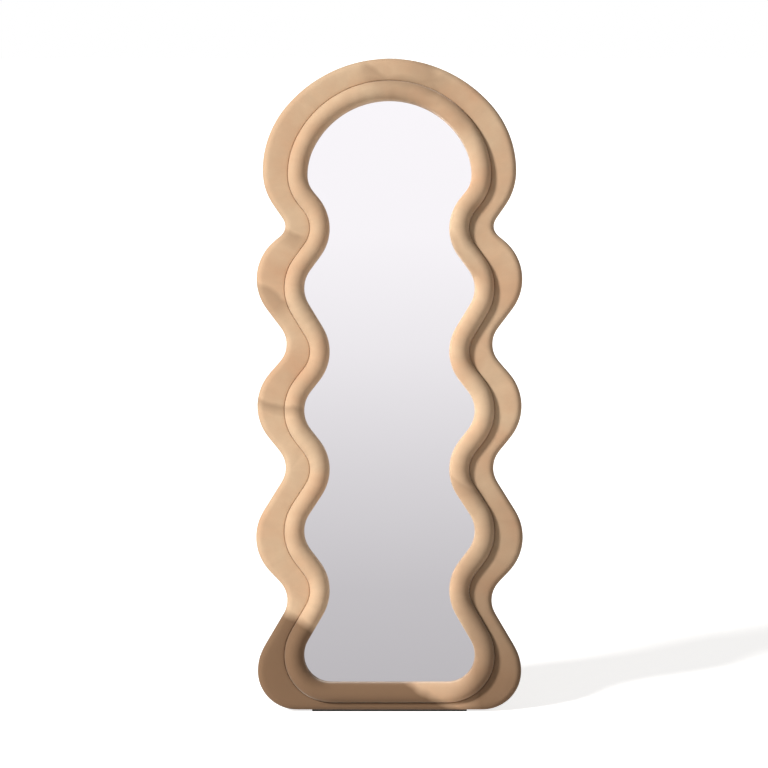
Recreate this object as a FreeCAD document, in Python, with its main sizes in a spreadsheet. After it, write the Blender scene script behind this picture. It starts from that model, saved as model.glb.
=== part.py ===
import FreeCAD, Part
import math
import os

import Sketcher

# A full-length mirror with a wavy, velvet-wrapped frame. It leans back on a U-shaped leg that folds flat.
#
# Most pieces are drawn upright in the mirror's own planes and then leaned back together. There, X runs
# across, Z runs up from the frame's bottom edge, and Y runs from the viewer to the back. The frame board's
# back face lies at Y = 0, and every depth below is measured from it towards the viewer.

SIZES = (
    # the frame's outer edge: an arch, then three crests and four waists down to a flat base
    ("rim_arch_flattening", 36, "the arch rises by this less than half its width"),
    ("rim_arch_step", 136, "arch's widest place above the notch"),
    ("rim_arch_reach", 312, "half the arch's width"),
    ("rim_shoulder_radius", 245, "arch, above its widest place"),
    ("rim_cheek_radius", 148, "arch, below its widest place"),
    ("rim_notch_step", 130, "narrow waist under the arch, above the upper crest"),
    ("rim_notch_inset", 56, "its hollow inside the arch's widest place"),
    ("rim_notch_radius", 30, "hollow of that waist"),
    ("rim_upper_crest_step", 160, "upper crest above the upper waist"),
    ("rim_upper_crest_reach", 327, "half the width there"),
    ("rim_upper_waist_step", 152, "upper waist above the middle crest"),
    ("rim_upper_waist_reach", 253, "half the width there"),
    ("rim_middle_crest_step", 152, "middle crest above the middle waist"),
    ("rim_middle_crest_reach", 325, "half the width there"),
    ("rim_middle_waist_step", 170, "middle waist above the lower crest"),
    ("rim_middle_waist_reach", 255, "half the width there"),
    ("rim_lower_crest_step", 155, "lower crest above the lower waist"),
    ("rim_lower_crest_reach", 328, "half the width there"),
    ("rim_lower_waist_step", 269, "lower waist above the base line"),
    ("rim_lower_waist_reach", 251, "half the width there"),
    ("rim_base_reach", 324, "half the width at the base"),
    ("rim_floor", 0, "height of the base line"),
    ("rim_corner_radius", 94.6, "bottom corners"),
    ("rim_crest_radius", 122, "every crest"),
    ("rim_waist_radius", 64, "every waist but the notch"),
    # the edge of the mirror that shows: each wave lies a little above or below the rim's
    ("sight_arch_flattening", 19, "the arch rises by this less than half its width"),
    ("sight_arch_shift", -10, "widest place of the arch, above the rim's"),
    ("sight_arch_reach", 202, "half the arch's width"),
    ("sight_shoulder_radius", 152, "arch, above its widest place"),
    ("sight_cheek_radius", 66, "arch, below its widest place"),
    ("sight_notch_shift", -5, "first waist, above the rim's"),
    ("sight_notch_inset", 55, "its hollow inside the arch's widest place"),
    ("sight_notch_radius", 114, "hollow of that waist"),
    ("sight_upper_crest_shift", -22, "upper crest, above the rim's"),
    ("sight_upper_crest_reach", 210, "half the width there"),
    ("sight_upper_waist_shift", -18, "upper waist, above the rim's"),
    ("sight_upper_waist_reach", 147, "half the width there"),
    ("sight_middle_crest_shift", -11, "middle crest, above the rim's"),
    ("sight_middle_crest_reach", 210, "half the width there"),
    ("sight_middle_waist_shift", -4, "middle waist, above the rim's"),
    ("sight_middle_waist_reach", 147, "half the width there"),
    ("sight_lower_crest_shift", 14, "lower crest, above the rim's"),
    ("sight_lower_crest_reach", 210, "half the width there"),
    ("sight_lower_waist_shift", 23, "lower waist, above the rim's"),
    ("sight_lower_waist_reach", 147, "half the width there"),
    ("sight_base_reach", 210, "half the width at the base"),
    ("sight_floor", 67, "height of the mirror's bottom line"),
    ("sight_corner_radius", 66, "bottom corners"),
    ("sight_crest_radius", 74, "every crest"),
    ("sight_waist_radius", 114, "every waist but the first"),
    # layers of the frame
    ("board_thickness", 18, "fibreboard ring that carries everything"),
    ("padding_thickness", 6, "foam over the board's face and edge"),
    ("velvet_thickness", 1.2, "pile fabric with its backing"),
    ("wrap_gap", 0.3, "between a wrap and what it goes round"),
    ("edge_round", 16, "rounding of the velvet at the outer front edge"),
    ("velvet_return", 26, "width of the velvet turned over the board's back"),
    ("roll_radius", 24, "half-round padded roll round the mirror"),
    # glazing
    ("rebate_depth", 9, "step in the board's back that holds the glass"),
    ("rebate_width", 9.5, "how far the step lies outside the sight edge"),
    ("gasket_thickness", 1.5, "foam tape in front of the glass"),
    ("gasket_inset", 0.5, "tape and film stop short of the glass edge"),
    ("glass_thickness", 4, "silvered glass"),
    ("glass_gap", 1.5, "between the glass edge and the step"),
    ("film_thickness", 0.3, "safety film behind the silvering"),
    # back panel
    ("backing_thickness", 3, "hardboard back panel"),
    ("backing_inset", 18, "panel edge inside the rim"),
    ("screw_inset", 14, "screws inside the panel's edge"),
    ("base_screw_spread", 110, "bottom screws from the middle"),
    ("screw_radius", 1.6, "shank"),
    ("screw_head_radius", 3.6, "pan head"),
    ("screw_head_height", 2.2, "pan head"),
    ("screw_length", 14, "under the head"),
    ("screw_play", 0.1, "round each shank"),
    # lean and leg
    ("lean_angle", 8, "mirror from upright, in degrees"),
    ("opening_angle", 15, "leg from the mirror when open, in degrees"),
    ("pin_drop", 36, "leg pivot below the mirror's upper crest"),
    ("leg_margin", 6.5, "leg's side tubes outside the glass's step at that crest"),
    ("leg_bend_radius", 70, "bend between a side tube and the bottom bar"),
    ("tube_radius", 8, "leg tube outside"),
    ("tube_wall", 1.2, "leg tube wall"),
    ("sleeve_wall", 3, "rubber sleeve on the bottom bar"),
    ("sleeve_length", 46, "rubber sleeve on the bottom bar"),
    ("sleeve_play", 0.1, "sleeve over tube"),
    ("cap_height", 3, "plastic cap on a tube end"),
    ("cap_round", 1.5, "rounding of that cap"),
    ("cap_plug", 12, "how far the cap reaches into the tube"),
    ("stop_gap", 0.3, "cap to bracket plate when the leg is open"),
    # leg brackets
    ("plate_thickness", 2.5, "bracket steel"),
    ("plate_height", 104, "bracket plate"),
    ("cheek_height", 34, "bracket cheeks, along the mirror"),
    ("cheek_round", 9, "rear corners of the cheeks"),
    ("pin_standoff", 14, "pin axis above the bracket plate"),
    ("cheek_margin", 9, "cheek beyond the pin axis"),
    ("side_gap", 1.2, "tube to cheek, filled by the bush ends"),
    ("bush_play", 0.15, "bush end to cheek"),
    ("bush_wall", 1.5, "nylon bush round the pin"),
    ("pin_radius", 3, "hinge bolt"),
    ("running_fit", 0.05, "bolt in bush, ring in barrel"),
    ("bolt_head_radius", 6, "domed bolt head"),
    ("bolt_head_height", 3.4, "domed bolt head"),
    ("nut_radius", 5.8, "cap nut across its corners"),
    ("nut_height", 8, "cap nut"),
    ("bracket_screw_spread", 40, "screws above and below the pin"),
    # hangers
    ("hanger_rise", 46, "ring pivot above the arch's widest place"),
    ("hanger_inset", 62, "hangers inside the rim's arch"),
    ("strap_length", 46, "strap below the pivot"),
    ("strap_width", 14, "strap"),
    ("strap_thickness", 1.4, "strap"),
    ("strap_screw_pitch", 20, "between a strap's two screws"),
    ("barrel_wall", 1.2, "strap curled round the ring's bar"),
    ("ring_wire_radius", 1.5, "ring wire"),
    ("ring_reach", 12, "half the ring's width, to the wire's middle"),
    ("ring_leg", 10, "ring's straight sides"),
    ("ring_corner", 3, "ring's bends beside the bar"),
    # rubber strip under the frame
    ("strip_length", 380, "rubber strip"),
    ("strip_width", 9, "rubber strip"),
    ("strip_height", 4, "rubber strip, at its middle"),
    ("strip_depth", 4.4, "middle of the strip, from the board's back face"),
)

TITLE = "Sizes"

doc = FreeCAD.newDocument("WavyMirror")
sheet = doc.addObject("Spreadsheet::Sheet", TITLE)


class Size:
    """A length or angle that knows its value and the formula that ties it to the sheet."""

    def __init__(self, value, formula):
        self.value = value
        self.formula = formula

    def __add__(self, other):
        other = as_size(other)
        return Size(self.value + other.value, f"({self.formula} + {other.formula})")

    def __sub__(self, other):
        other = as_size(other)
        return Size(self.value - other.value, f"({self.formula} - {other.formula})")

    def __mul__(self, other):
        other = as_size(other)
        return Size(self.value * other.value, f"({self.formula} * {other.formula})")

    def __truediv__(self, other):
        other = as_size(other)
        return Size(self.value / other.value, f"({self.formula} / {other.formula})")

    def __neg__(self):
        return Size(-self.value, f"(0 - {self.formula})")


def as_size(number):
    return number if isinstance(number, Size) else Size(number, str(number))


def smaller(one, other):
    return Size(min(one.value, other.value), f"min({one.formula}; {other.formula})")


def sine(angle):
    return Size(math.sin(math.radians(angle.value)), f"sin({angle.formula})")


def cosine(angle):
    return Size(math.cos(math.radians(angle.value)), f"cos({angle.formula})")


def tangent(angle):
    return Size(math.tan(math.radians(angle.value)), f"tan({angle.formula})")


def fill_sheet():
    for row, (name, value, note) in enumerate(SIZES, start=1):
        sheet.set(f"A{row}", name)
        sheet.set(f"B{row}", str(value))
        sheet.set(f"C{row}", note)
        sheet.setAlias(f"B{row}", name)
    doc.recompute()


def size(name):
    return Size(float(sheet.get(name)), f"{TITLE}.{name}")


def vector(across, up):
    return FreeCAD.Vector(across, up, 0)


# ---------------------------------------------------------------- bodies, sketches and features


class Drawing:
    """A sketch on one of its body's origin planes. Its constraints are gathered and solved together."""

    def __init__(self, body, name, role="XZ_Plane", lift=None):
        self.sketch = body.newObject("Sketcher::SketchObject", f"{body.Label}_{name}")
        self.rules = []
        self.formulas = {}
        plane = next(item for item in body.Origin.OriginFeatures if item.Role == role)
        self.sketch.AttachmentSupport = [(plane, "")]
        self.sketch.MapMode = "FlatFace"
        if lift is not None:
            self.sketch.setExpression("AttachmentOffset.Base.z", lift.formula)

    def line(self, start, end):
        return self.sketch.addGeometry(Part.LineSegment(vector(*start), vector(*end)), False)

    def arc(self, across, up, radius, start, end):
        circle = Part.Circle(vector(across, up), FreeCAD.Vector(0, 0, 1), radius)
        return self.sketch.addGeometry(Part.ArcOfCircle(circle, start, end), False)

    def rule(self, kind, *where):
        self.rules.append(Sketcher.Constraint(kind, *where))

    def bind(self, kind, *where):
        """A driving constraint whose last argument is a Size."""
        *places, amount = where
        self.formulas[len(self.rules)] = amount.formula
        self.rule(kind, *places, amount.value)

    def put(self, index, point, across=None, up=None):
        """Places a point of a piece of geometry from the sketch's origin."""
        if across is not None:
            self.bind("DistanceX", -1, 1, index, point, across)
        if up is not None:
            self.bind("DistanceY", -1, 1, index, point, up)

    def tie(self, one, other):
        self.rule("Tangent", *one, *other)

    def circle(self, across, up, radius):
        ring = Part.Circle(vector(across.value, up.value), FreeCAD.Vector(0, 0, 1), radius.value)
        index = self.sketch.addGeometry(ring, False)
        self.put(index, 3, across, up)
        self.bind("Radius", index, radius)

    def circles(self, places, radius):
        for across, up in places:
            self.circle(across, up, radius)

    def polygon(self, corners):
        """A closed outline of straight lines, each corner a pair of Sizes."""
        points = [(across.value, up.value) for across, up in corners]
        lines = [self.line(start, end) for start, end in zip(points, points[1:] + points[:1])]
        for line, following in zip(lines, lines[1:] + lines[:1]):
            self.rule("Coincident", line, 2, following, 1)
        for line, (across, up) in zip(lines, corners):
            self.put(line, 1, across, up)

    def rectangle(self, left, right, low, high):
        self.polygon([(left, low), (right, low), (right, high), (left, high)])

    def done(self):
        if self.rules:
            self.sketch.addConstraint(self.rules)
        for index, formula in self.formulas.items():
            self.sketch.setExpression(f"Constraints[{index}]", formula)
        self.rules = []
        self.formulas = {}
        return self.sketch


def new_body(label, placement=None):
    body = doc.addObject("PartDesign::Body", label)
    body.Label = label
    if placement:
        body.setExpression("Placement", placement)
    return body


def extrude(kind, body, drawing, length, reverse, symmetric):
    sketch = drawing.done()
    feature = body.newObject(f"PartDesign::{kind}", f"{sketch.Label}_{kind.lower()}")
    feature.Profile = sketch
    feature.setExpression("Length", length.formula)
    feature.Reversed = reverse
    if symmetric:
        feature.SideType = "Symmetric"
    return feature


def pad(body, drawing, length, reverse=False, symmetric=False):
    return extrude("Pad", body, drawing, length, reverse, symmetric)


def cut(body, drawing, length, reverse=True, symmetric=False):
    """A pocket that runs along the sketch's normal, and so into the solid that is lifted above it."""
    return extrude("Pocket", body, drawing, length, reverse, symmetric)


def through(body, drawing, length):
    """A pocket to both sides of its sketch."""
    return cut(body, drawing, length, symmetric=True)


def mirror(body, feature):
    """The other half of a feature that was drawn on the right of the middle plane."""
    other = body.newObject("PartDesign::Mirrored", f"{feature.Label}_mirrored")
    other.Originals = [feature]
    plane = next(item for item in body.Origin.OriginFeatures if item.Role == "YZ_Plane")
    other.MirrorPlane = (plane, [""])
    body.Tip = other
    return other


def sweep(body, section, path):
    profile, spine = section.done(), path.done()
    feature = body.newObject("PartDesign::AdditivePipe", f"{profile.Label}_swept")
    feature.Profile = profile
    feature.Spine = (spine, [""])
    return feature


def fillet(body, base, edges, radius, name):
    feature = body.newObject("PartDesign::Fillet", f"{body.Label}_{name}")
    feature.Base = (base, edges)
    feature.setExpression("Radius", radius.formula)
    return feature


def widest_face(shape, depth):
    """The largest flat face that looks along Y, at this depth in front of the board's back face."""
    def lies_there(face):
        flat = face.Surface.TypeId == "Part::GeomPlane" and abs(face.normalAt(0, 0).y) > 0.999
        return flat and abs(face.CenterOfMass.y + depth.value) < 0.01

    return max((face for face in shape.Faces if lies_there(face)), key=lambda face: face.Area)


def rim_edges(feature, depth):
    """Names of the edges round the outside of the widest face at a depth."""
    doc.recompute()
    shape = feature.Shape
    outline = widest_face(shape, depth).OuterWire.Edges
    return [f"Edge{i}" for i, edge in enumerate(shape.Edges, start=1) if any(edge.isSame(o) for o in outline)]


def edges_where(feature, test):
    doc.recompute()
    return [f"Edge{i}" for i, edge in enumerate(feature.Shape.Edges, start=1) if test(edge)]


def edges_at(feature, across):
    """Names of the edges that lie in a plane square to X."""
    def lies_there(edge):
        return abs(edge.BoundBox.XMin - across) < 0.01 and abs(edge.BoundBox.XMax - across) < 0.01

    return edges_where(feature, lies_there)


# ---------------------------------------------------------------- the two wavy outlines

WAVES = ("lower_waist", "lower_crest", "middle_waist", "middle_crest", "upper_waist", "upper_crest", "notch")


# the shoulder's radius is at most this much of the arch's rise
SHOULDER_SHARE = 0.9
# and a hollow's of what would leave no straight flank beside it
HOLLOW_SHARE = 0.98


def height_of(curve, place):
    """Height of a wave or of the arch. The rim's add up from its base, and the mirror's lie near them."""
    places = (*WAVES, "arch")
    height = size("rim_floor")
    for name in places[: places.index(place) + 1]:
        height = height + size(f"rim_{name}_step")
    return height + size(f"sight_{place}_shift") if curve == "sight" else height


def arch_rise(curve):
    return size(f"{curve}_arch_reach") - size(f"{curve}_arch_flattening")


def top_of(curve):
    return height_of(curve, "arch") + arch_rise(curve)


def reach_of(curve, place):
    """Half the width at a wave or at the arch."""
    if place == "notch":
        return size(f"{curve}_arch_reach") - size(f"{curve}_notch_inset")
    return size(f"{curve}_{place}_reach")


def hollow_room(reach, height, crest):
    """Largest radius of a hollow that still leaves a flank between it and the crest beside it."""
    across, up = reach - crest.across, height - crest.up
    depth = crest.across + crest.radius - reach
    return (across * across + up * up - crest.radius * crest.radius) / (depth * 2) * HOLLOW_SHARE


class Arc:
    """One arc on an outline's right side. A hollow arc bends inwards, and is run through clockwise."""

    def __init__(self, reach, up, radius, hollow=False):
        self.hollow = hollow
        self.across = reach + radius if hollow else reach - radius
        self.up = up
        self.radius = radius
        self.first = 0.0
        self.last = 0.0

    def grown(self, offset):
        return self.radius - offset if self.hollow else self.radius + offset


def side_arcs(curve):
    """The right side of the curve rim or sight, from the bottom corner to the arch's shoulder."""
    base_reach, corner_radius = size(f"{curve}_base_reach"), size(f"{curve}_corner_radius")
    base_height = size(f"{curve}_floor") + corner_radius
    arch_reach, arch_height = size(f"{curve}_arch_reach"), height_of(curve, "arch")
    crest_radius = size(f"{curve}_crest_radius")
    crests = [Arc(base_reach, base_height, crest_radius)]
    for wave in WAVES[1::2]:
        crests.append(Arc(reach_of(curve, wave), height_of(curve, wave), crest_radius))
    crests.append(Arc(arch_reach, arch_height, size(f"{curve}_cheek_radius")))
    arcs = [Arc(base_reach, base_height, corner_radius), crests[0]]
    for wave, lower, upper in zip(WAVES[::2], crests, crests[1:]):
        reach, height = reach_of(curve, wave), height_of(curve, wave)
        radius = size(f"{curve}_{wave.split('_')[-1]}_radius")
        for crest in (lower, upper):
            radius = smaller(radius, hollow_room(reach, height, crest))
        arcs += [Arc(reach, height, radius, hollow=True), upper]
    shoulder_radius = smaller(size(f"{curve}_shoulder_radius"), arch_rise(curve) * SHOULDER_SHARE)
    return [*arcs, Arc(arch_reach, arch_height, shoulder_radius)]


def flank_angle(crest, waist):
    """Direction square to the straight flank between a crest and a waist, seen from the crest's centre."""
    across = waist.across.value - crest.across.value
    up = waist.up.value - crest.up.value
    spare = math.acos(min(1.0, (crest.radius.value + waist.radius.value) / math.hypot(across, up)))
    tilt = math.atan2(abs(up), across) - spare
    return math.copysign(tilt, up)


def set_angles(arcs, curve):
    """Where each arc starts and ends on the way up: a first guess that the constraints then hold."""
    arcs[0].first = -math.pi / 2
    for lower, upper in zip(arcs[1:-2], arcs[2:-1]):
        crest, waist = (upper, lower) if lower.hollow else (lower, upper)
        angle = flank_angle(crest, waist)
        lower.last = angle + math.pi * lower.hollow
        upper.first = angle + math.pi * upper.hollow
    shoulder = arcs[-1]
    top = top_of(curve).value
    rise = top - shoulder.up.value
    radius = shoulder.radius.value
    top_radius = (shoulder.across.value**2 + rise**2 - radius**2) / (2 * (rise - radius))
    shoulder.last = math.atan2(shoulder.up.value - (top - top_radius), shoulder.across.value)
    return top_radius


def point_on(arc, angle, grown):
    return (arc.across.value + grown * math.cos(angle), arc.up.value + grown * math.sin(angle))


def wavy_half(drawing, curve, offset):
    """The right half of the outline rim or sight, moved outwards by offset, and its two ends."""
    arcs = side_arcs(curve)
    top_radius = set_angles(arcs, curve) + offset.value
    floor = size(f"{curve}_floor") - offset
    top = top_of(curve) + offset
    base = drawing.line((0, floor.value), point_on(arcs[0], arcs[0].first, arcs[0].grown(offset).value))
    drawing.put(base, 1, up=floor)
    drawing.rule("PointOnObject", base, 1, -2)
    head, head_point, before = (base, 2), None, None
    for arc in arcs:
        grown = arc.grown(offset)
        foot_point = point_on(arc, arc.first, grown.value)
        low, high = sorted((arc.first, arc.last))
        index = drawing.arc(arc.across.value, arc.up.value, grown.value, low, high)
        foot, next_head = ((index, 2), (index, 1)) if arc.hollow else ((index, 1), (index, 2))
        if before and before.hollow != arc.hollow:
            flank = drawing.line(head_point, foot_point)
            drawing.tie(head, (flank, 1))
            head = (flank, 2)
        drawing.tie(head, foot)
        drawing.bind("Radius", index, grown)
        held_by_neighbour = arc in (arcs[1], arcs[-2])
        drawing.put(index, 3, None if held_by_neighbour else arc.across, arc.up)
        head, head_point, before = next_head, point_on(arc, arc.last, grown.value), arc
    crown = drawing.arc(0, top.value - top_radius, top_radius, arcs[-1].last, math.pi / 2)
    drawing.tie(head, (crown, 1))
    drawing.rule("PointOnObject", crown, 3, -2)
    drawing.rule("PointOnObject", crown, 2, -2)
    drawing.put(crown, 2, up=top)
    return (base, 1, (0, floor.value)), (crown, 2, (0, top.value))


def join(drawing, foot, other):
    """A straight line between two open ends of an outline."""
    line = drawing.line(foot[2], other[2])
    drawing.rule("Coincident", foot[0], foot[1], line, 1)
    drawing.rule("Coincident", other[0], other[1], line, 2)


def wavy_drawing(body, name, curve, offset, lift):
    drawing = Drawing(body, name, lift=lift)
    low, high = wavy_half(drawing, curve, offset)
    join(drawing, high, low)
    return drawing


def wavy_pad(body, name, curve, offset, lift, thickness):
    return mirror(body, pad(body, wavy_drawing(body, name, curve, offset, lift), thickness))


def wavy_cut(body, name, curve, offset, lift, depth):
    return mirror(body, cut(body, wavy_drawing(body, name, curve, offset, lift), depth))


def arch(drawing, radius, near_foot, far_foot):
    """Side, half circle and side of the roll's section, with its crest towards -X, and its two feet."""
    near, far = (ROLL_MIDDLE + radius).value, (ROLL_MIDDLE - radius).value
    spring = -VELVET_FRONT
    side = drawing.line((-near_foot.value, near), (spring.value, near))
    crest = drawing.arc(spring.value, ROLL_MIDDLE.value, radius.value, math.pi / 2, 3 * math.pi / 2)
    other = drawing.line((spring.value, far), (-far_foot.value, far))
    drawing.tie((side, 2), (crest, 1))
    drawing.tie((crest, 2), (other, 1))
    drawing.put(crest, 3, spring, ROLL_MIDDLE)
    drawing.bind("Radius", crest, radius)
    drawing.rule("Horizontal", side)
    drawing.rule("Horizontal", other)
    drawing.put(side, 1, -near_foot)
    drawing.put(other, 2, -far_foot)
    return (side, 1, (-near_foot.value, near)), (other, 2, (-far_foot.value, far))


# ---------------------------------------------------------------- planes and places shared by several pieces

fill_sheet()

BOARD_FRONT = size("board_thickness")
PADDING_FRONT = BOARD_FRONT + size("padding_thickness")
VELVET_FRONT = PADDING_FRONT + size("wrap_gap") + size("velvet_thickness")
WRAP = size("velvet_thickness") + size("wrap_gap")
PANEL_FACE = size("velvet_thickness") + size("backing_thickness")
GLASS_FRONT = size("rebate_depth") - size("gasket_thickness")
GLASS_BACK = GLASS_FRONT - size("glass_thickness")
FILM_BACK = GLASS_BACK - size("film_thickness")
GLASS_OFFSET = size("rebate_width") - size("glass_gap")
ROLL_OUTSIDE = size("roll_radius") * 2
CREASE = ROLL_OUTSIDE + size("wrap_gap")
BOARD_INSET = WRAP + size("padding_thickness") + size("wrap_gap")
ZERO = as_size(0)

LEG_REACH = size("sight_upper_crest_reach") + size("rebate_width") + size("leg_margin")
PIN_HEIGHT = height_of("sight", "upper_crest") - size("pin_drop")
HANGER_REACH = size("rim_arch_reach") - size("hanger_inset")
HANGER_HEIGHT = height_of("rim", "arch") + size("hanger_rise")

LEAN = size("lean_angle")
OPENING = size("opening_angle")
LEG_TILT = OPENING - LEAN
SLEEVE_RADIUS = size("tube_radius") + size("sleeve_play") + size("sleeve_wall")
PIN_DEPTH = PANEL_FACE + size("plate_thickness") + size("pin_standoff")
CHANNEL_HALF = size("tube_radius") + size("side_gap")
ROLL_MIDDLE = size("sight_floor") - size("roll_radius")
BUSH_RADIUS = size("pin_radius") + size("running_fit") + size("bush_wall")
BARREL_BORE = size("ring_wire_radius") + size("running_fit")
BARREL_RADIUS = BARREL_BORE + size("barrel_wall")
RING_DEPTH = PANEL_FACE + BARREL_RADIUS
SCREW_HOLE = size("screw_radius") + size("screw_play")
SIDES = (("left", -1), ("right", 1))
# how much of its height a domed end is rounded by
DOME_SHARE = 0.8

# the middle of the rubber strip's sole comes to the origin
SHIFT_Y = size("strip_depth") * cosine(LEAN) + size("strip_height") * sine(LEAN)
SHIFT_Z = size("strip_height") * cosine(LEAN) - size("strip_depth") * sine(LEAN)


def leaned(back, up):
    """Where a point of the upright mirror goes when it leans back."""
    return (
        SHIFT_Y + back * cosine(LEAN) + up * sine(LEAN),
        SHIFT_Z - back * sine(LEAN) + up * cosine(LEAN),
    )


def turned_about_x(across, back, up, angle):
    place = f"vector({across.formula}; {back.formula}; {up.formula})"
    return f"placement({place}; rotation(vector(1; 0; 0); {angle.formula}))"


LEANING = turned_about_x(ZERO, SHIFT_Y, SHIFT_Z, -LEAN)
PIN_Y, PIN_Z = leaned(PIN_DEPTH, PIN_HEIGHT)
LEG_PLACE = turned_about_x(ZERO, PIN_Y, PIN_Z, LEG_TILT)
LEG_LENGTH = (PIN_Z - SLEEVE_RADIUS) / cosine(LEG_TILT)
CAP_TOUCH = size("pin_standoff") - size("stop_gap") - size("cap_round")
CAP_TOP = size("cap_round") + (
    CAP_TOUCH - (size("tube_radius") - size("cap_round")) * cosine(OPENING)
) / sine(OPENING)
TUBE_TOP = CAP_TOP - size("cap_height")


def panel_screw_places():
    """Screws of the back panel, at the crests and at the arch's and the base's corners."""
    inset = size("backing_inset") + size("screw_inset")
    places = [(ZERO, top_of("rim") - inset)]
    for wide in ("arch", *(wave for wave in WAVES if "crest" in wave)):
        reach, height = size(f"rim_{wide}_reach") - inset, height_of("rim", wide)
        places += [(reach, height), (-reach, height)]
    spread = size("base_screw_spread")
    return places + [(spread, inset), (-spread, inset)]


def bracket_screw_places():
    height, spread = PIN_HEIGHT, size("bracket_screw_spread")
    reach = LEG_REACH
    return [(x, z) for x in (reach, -reach) for z in (height + spread, height - spread)]


def hanger_screw_places():
    pitch = size("strap_screw_pitch")
    lowest = HANGER_HEIGHT - size("strap_length") + size("strap_width") / 2
    reach = HANGER_REACH
    return [(x, z) for x in (reach, -reach) for z in (lowest, lowest + pitch)]


def all_screw_places():
    return panel_screw_places() + bracket_screw_places() + hanger_screw_places()


# ---------------------------------------------------------------- the frame


def frame_board():
    body = new_body("frame_board", LEANING)
    blank = wavy_pad(body, "outline", "rim", -BOARD_INSET, ZERO, BOARD_FRONT)
    edges = rim_edges(blank, BOARD_FRONT)
    fillet(body, blank, edges, size("edge_round") - BOARD_INSET, "edge")
    wavy_cut(body, "window", "sight", WRAP, ZERO, BOARD_FRONT)
    wavy_cut(body, "rebate", "sight", size("rebate_width"), ZERO, size("rebate_depth"))
    holes = Drawing(body, "pilots", lift=ZERO)
    holes.circles(all_screw_places(), SCREW_HOLE)
    cut(body, holes, size("screw_length") - size("velvet_thickness"))


def former(label, inset, front):
    """A solid of the rim's outline, rounded at its front edge as the velvet is, to wrap a layer round."""
    body = new_body(label, LEANING)
    blank = wavy_pad(body, "outline", "rim", -inset, ZERO, front)
    fillet(body, blank, rim_edges(blank, front), size("edge_round") - inset, "edge")
    return body


def less(label, base, tool):
    """One solid with another taken out of it."""
    piece = doc.addObject("Part::Cut", label)
    piece.Label = label
    piece.Base = base
    piece.Tool = tool
    return piece


def in_lengths(label, whole, curve):
    """Cuts a layer of foam square across at its lowest and highest waists, as it is laid in four lengths."""
    low, high = height_of(curve, "lower_waist"), height_of(curve, "notch")
    far = top_of("rim")
    regions = (
        ("foot", -far, far, -far, low),
        ("left", -far, ZERO, low, high),
        ("right", ZERO, far, low, high),
        ("arch", -far, far, high, far),
    )
    for name, *limits in regions:
        region = new_body(f"{label}_{name}_region", LEANING)
        outline = Drawing(region, "outline", lift=ZERO)
        outline.rectangle(*limits)
        pad(region, outline, VELVET_FRONT + size("roll_radius"))
        piece = doc.addObject("Part::Common", f"{label}_{name}")
        piece.Label = piece.Name
        piece.Base = whole
        piece.Tool = region


def edge_padding():
    outside = former("padding_outside", WRAP, PADDING_FRONT)
    wavy_cut(outside, "window", "sight", CREASE, ZERO, PADDING_FRONT)
    inside = former("padding_inside", WRAP + size("padding_thickness"), BOARD_FRONT)
    in_lengths("edge_padding", less("padding_whole", outside, inside), "rim")


def rim_velvet():
    """Velvet over the padding, turned in over the board's back by velvet_return."""
    outside = new_body("velvet_outside", LEANING)
    behind = -size("velvet_thickness")
    blank = wavy_pad(outside, "outline", "rim", ZERO, behind, VELVET_FRONT - behind)
    fillet(outside, blank, rim_edges(blank, VELVET_FRONT), size("edge_round"), "edge")
    wavy_cut(outside, "window", "sight", CREASE, behind, VELVET_FRONT - behind)
    wavy_cut(outside, "turned_in", "rim", -size("velvet_return"), behind, size("velvet_thickness"))
    inside = former("velvet_inside", size("velvet_thickness"), VELVET_FRONT - size("velvet_thickness"))
    less("rim_velvet", outside, inside)


def roll(label, arches):
    """A section of one or two arches, carried round the mirror and closed between their feet."""
    body = new_body(label, LEANING)
    path = Drawing(body, "path", lift=VELVET_FRONT)
    wavy_half(path, "sight", size("roll_radius"))
    section = Drawing(body, "section", role="YZ_Plane")
    feet = [arch(section, *one) for one in arches]
    if len(feet) == 1:
        join(section, *feet[0])
    else:
        for foot, lining_foot in zip(*feet):
            join(section, foot, lining_foot)
    mirror(body, sweep(body, section, path))
    return body


def roll_core():
    whole = roll("roll_whole", [(size("roll_radius") - WRAP, BOARD_FRONT, BOARD_FRONT)])
    in_lengths("roll_core", whole, "sight")


def roll_velvet():
    outer = size("roll_radius")
    near_foot = GLASS_FRONT + size("wrap_gap")
    inner = outer - size("velvet_thickness")
    roll("roll_velvet", [(outer, near_foot, BOARD_FRONT), (inner, near_foot, BOARD_FRONT)])


# ---------------------------------------------------------------- glazing and back panel


def wavy_sheet(label, curve, offset, back, thickness):
    """A flat sheet with a wavy outline, its back face this far in front of the board's back face."""
    body = new_body(label, LEANING)
    wavy_pad(body, "outline", curve, offset, back, thickness)
    return body


def glazing():
    wavy_sheet("mirror_glass", "sight", GLASS_OFFSET, GLASS_BACK, size("glass_thickness"))
    wavy_sheet("safety_film", "sight", GLASS_OFFSET - size("gasket_inset"), FILM_BACK, size("film_thickness"))
    behind = -size("velvet_thickness")
    wavy_sheet("packing_sheet", "sight", GLASS_OFFSET, behind, FILM_BACK - behind)
    outer = GLASS_OFFSET - size("gasket_inset")
    gasket = wavy_sheet("glass_gasket", "sight", outer, GLASS_FRONT, size("gasket_thickness"))
    wavy_cut(gasket, "window", "sight", WRAP, GLASS_FRONT, size("gasket_thickness"))


def backing_board():
    body = wavy_sheet("backing_board", "rim", -size("backing_inset"), -PANEL_FACE, size("backing_thickness"))
    holes = Drawing(body, "screw_holes", lift=-PANEL_FACE)
    holes.circles(all_screw_places(), SCREW_HOLE)
    cut(body, holes, size("backing_thickness"))


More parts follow.
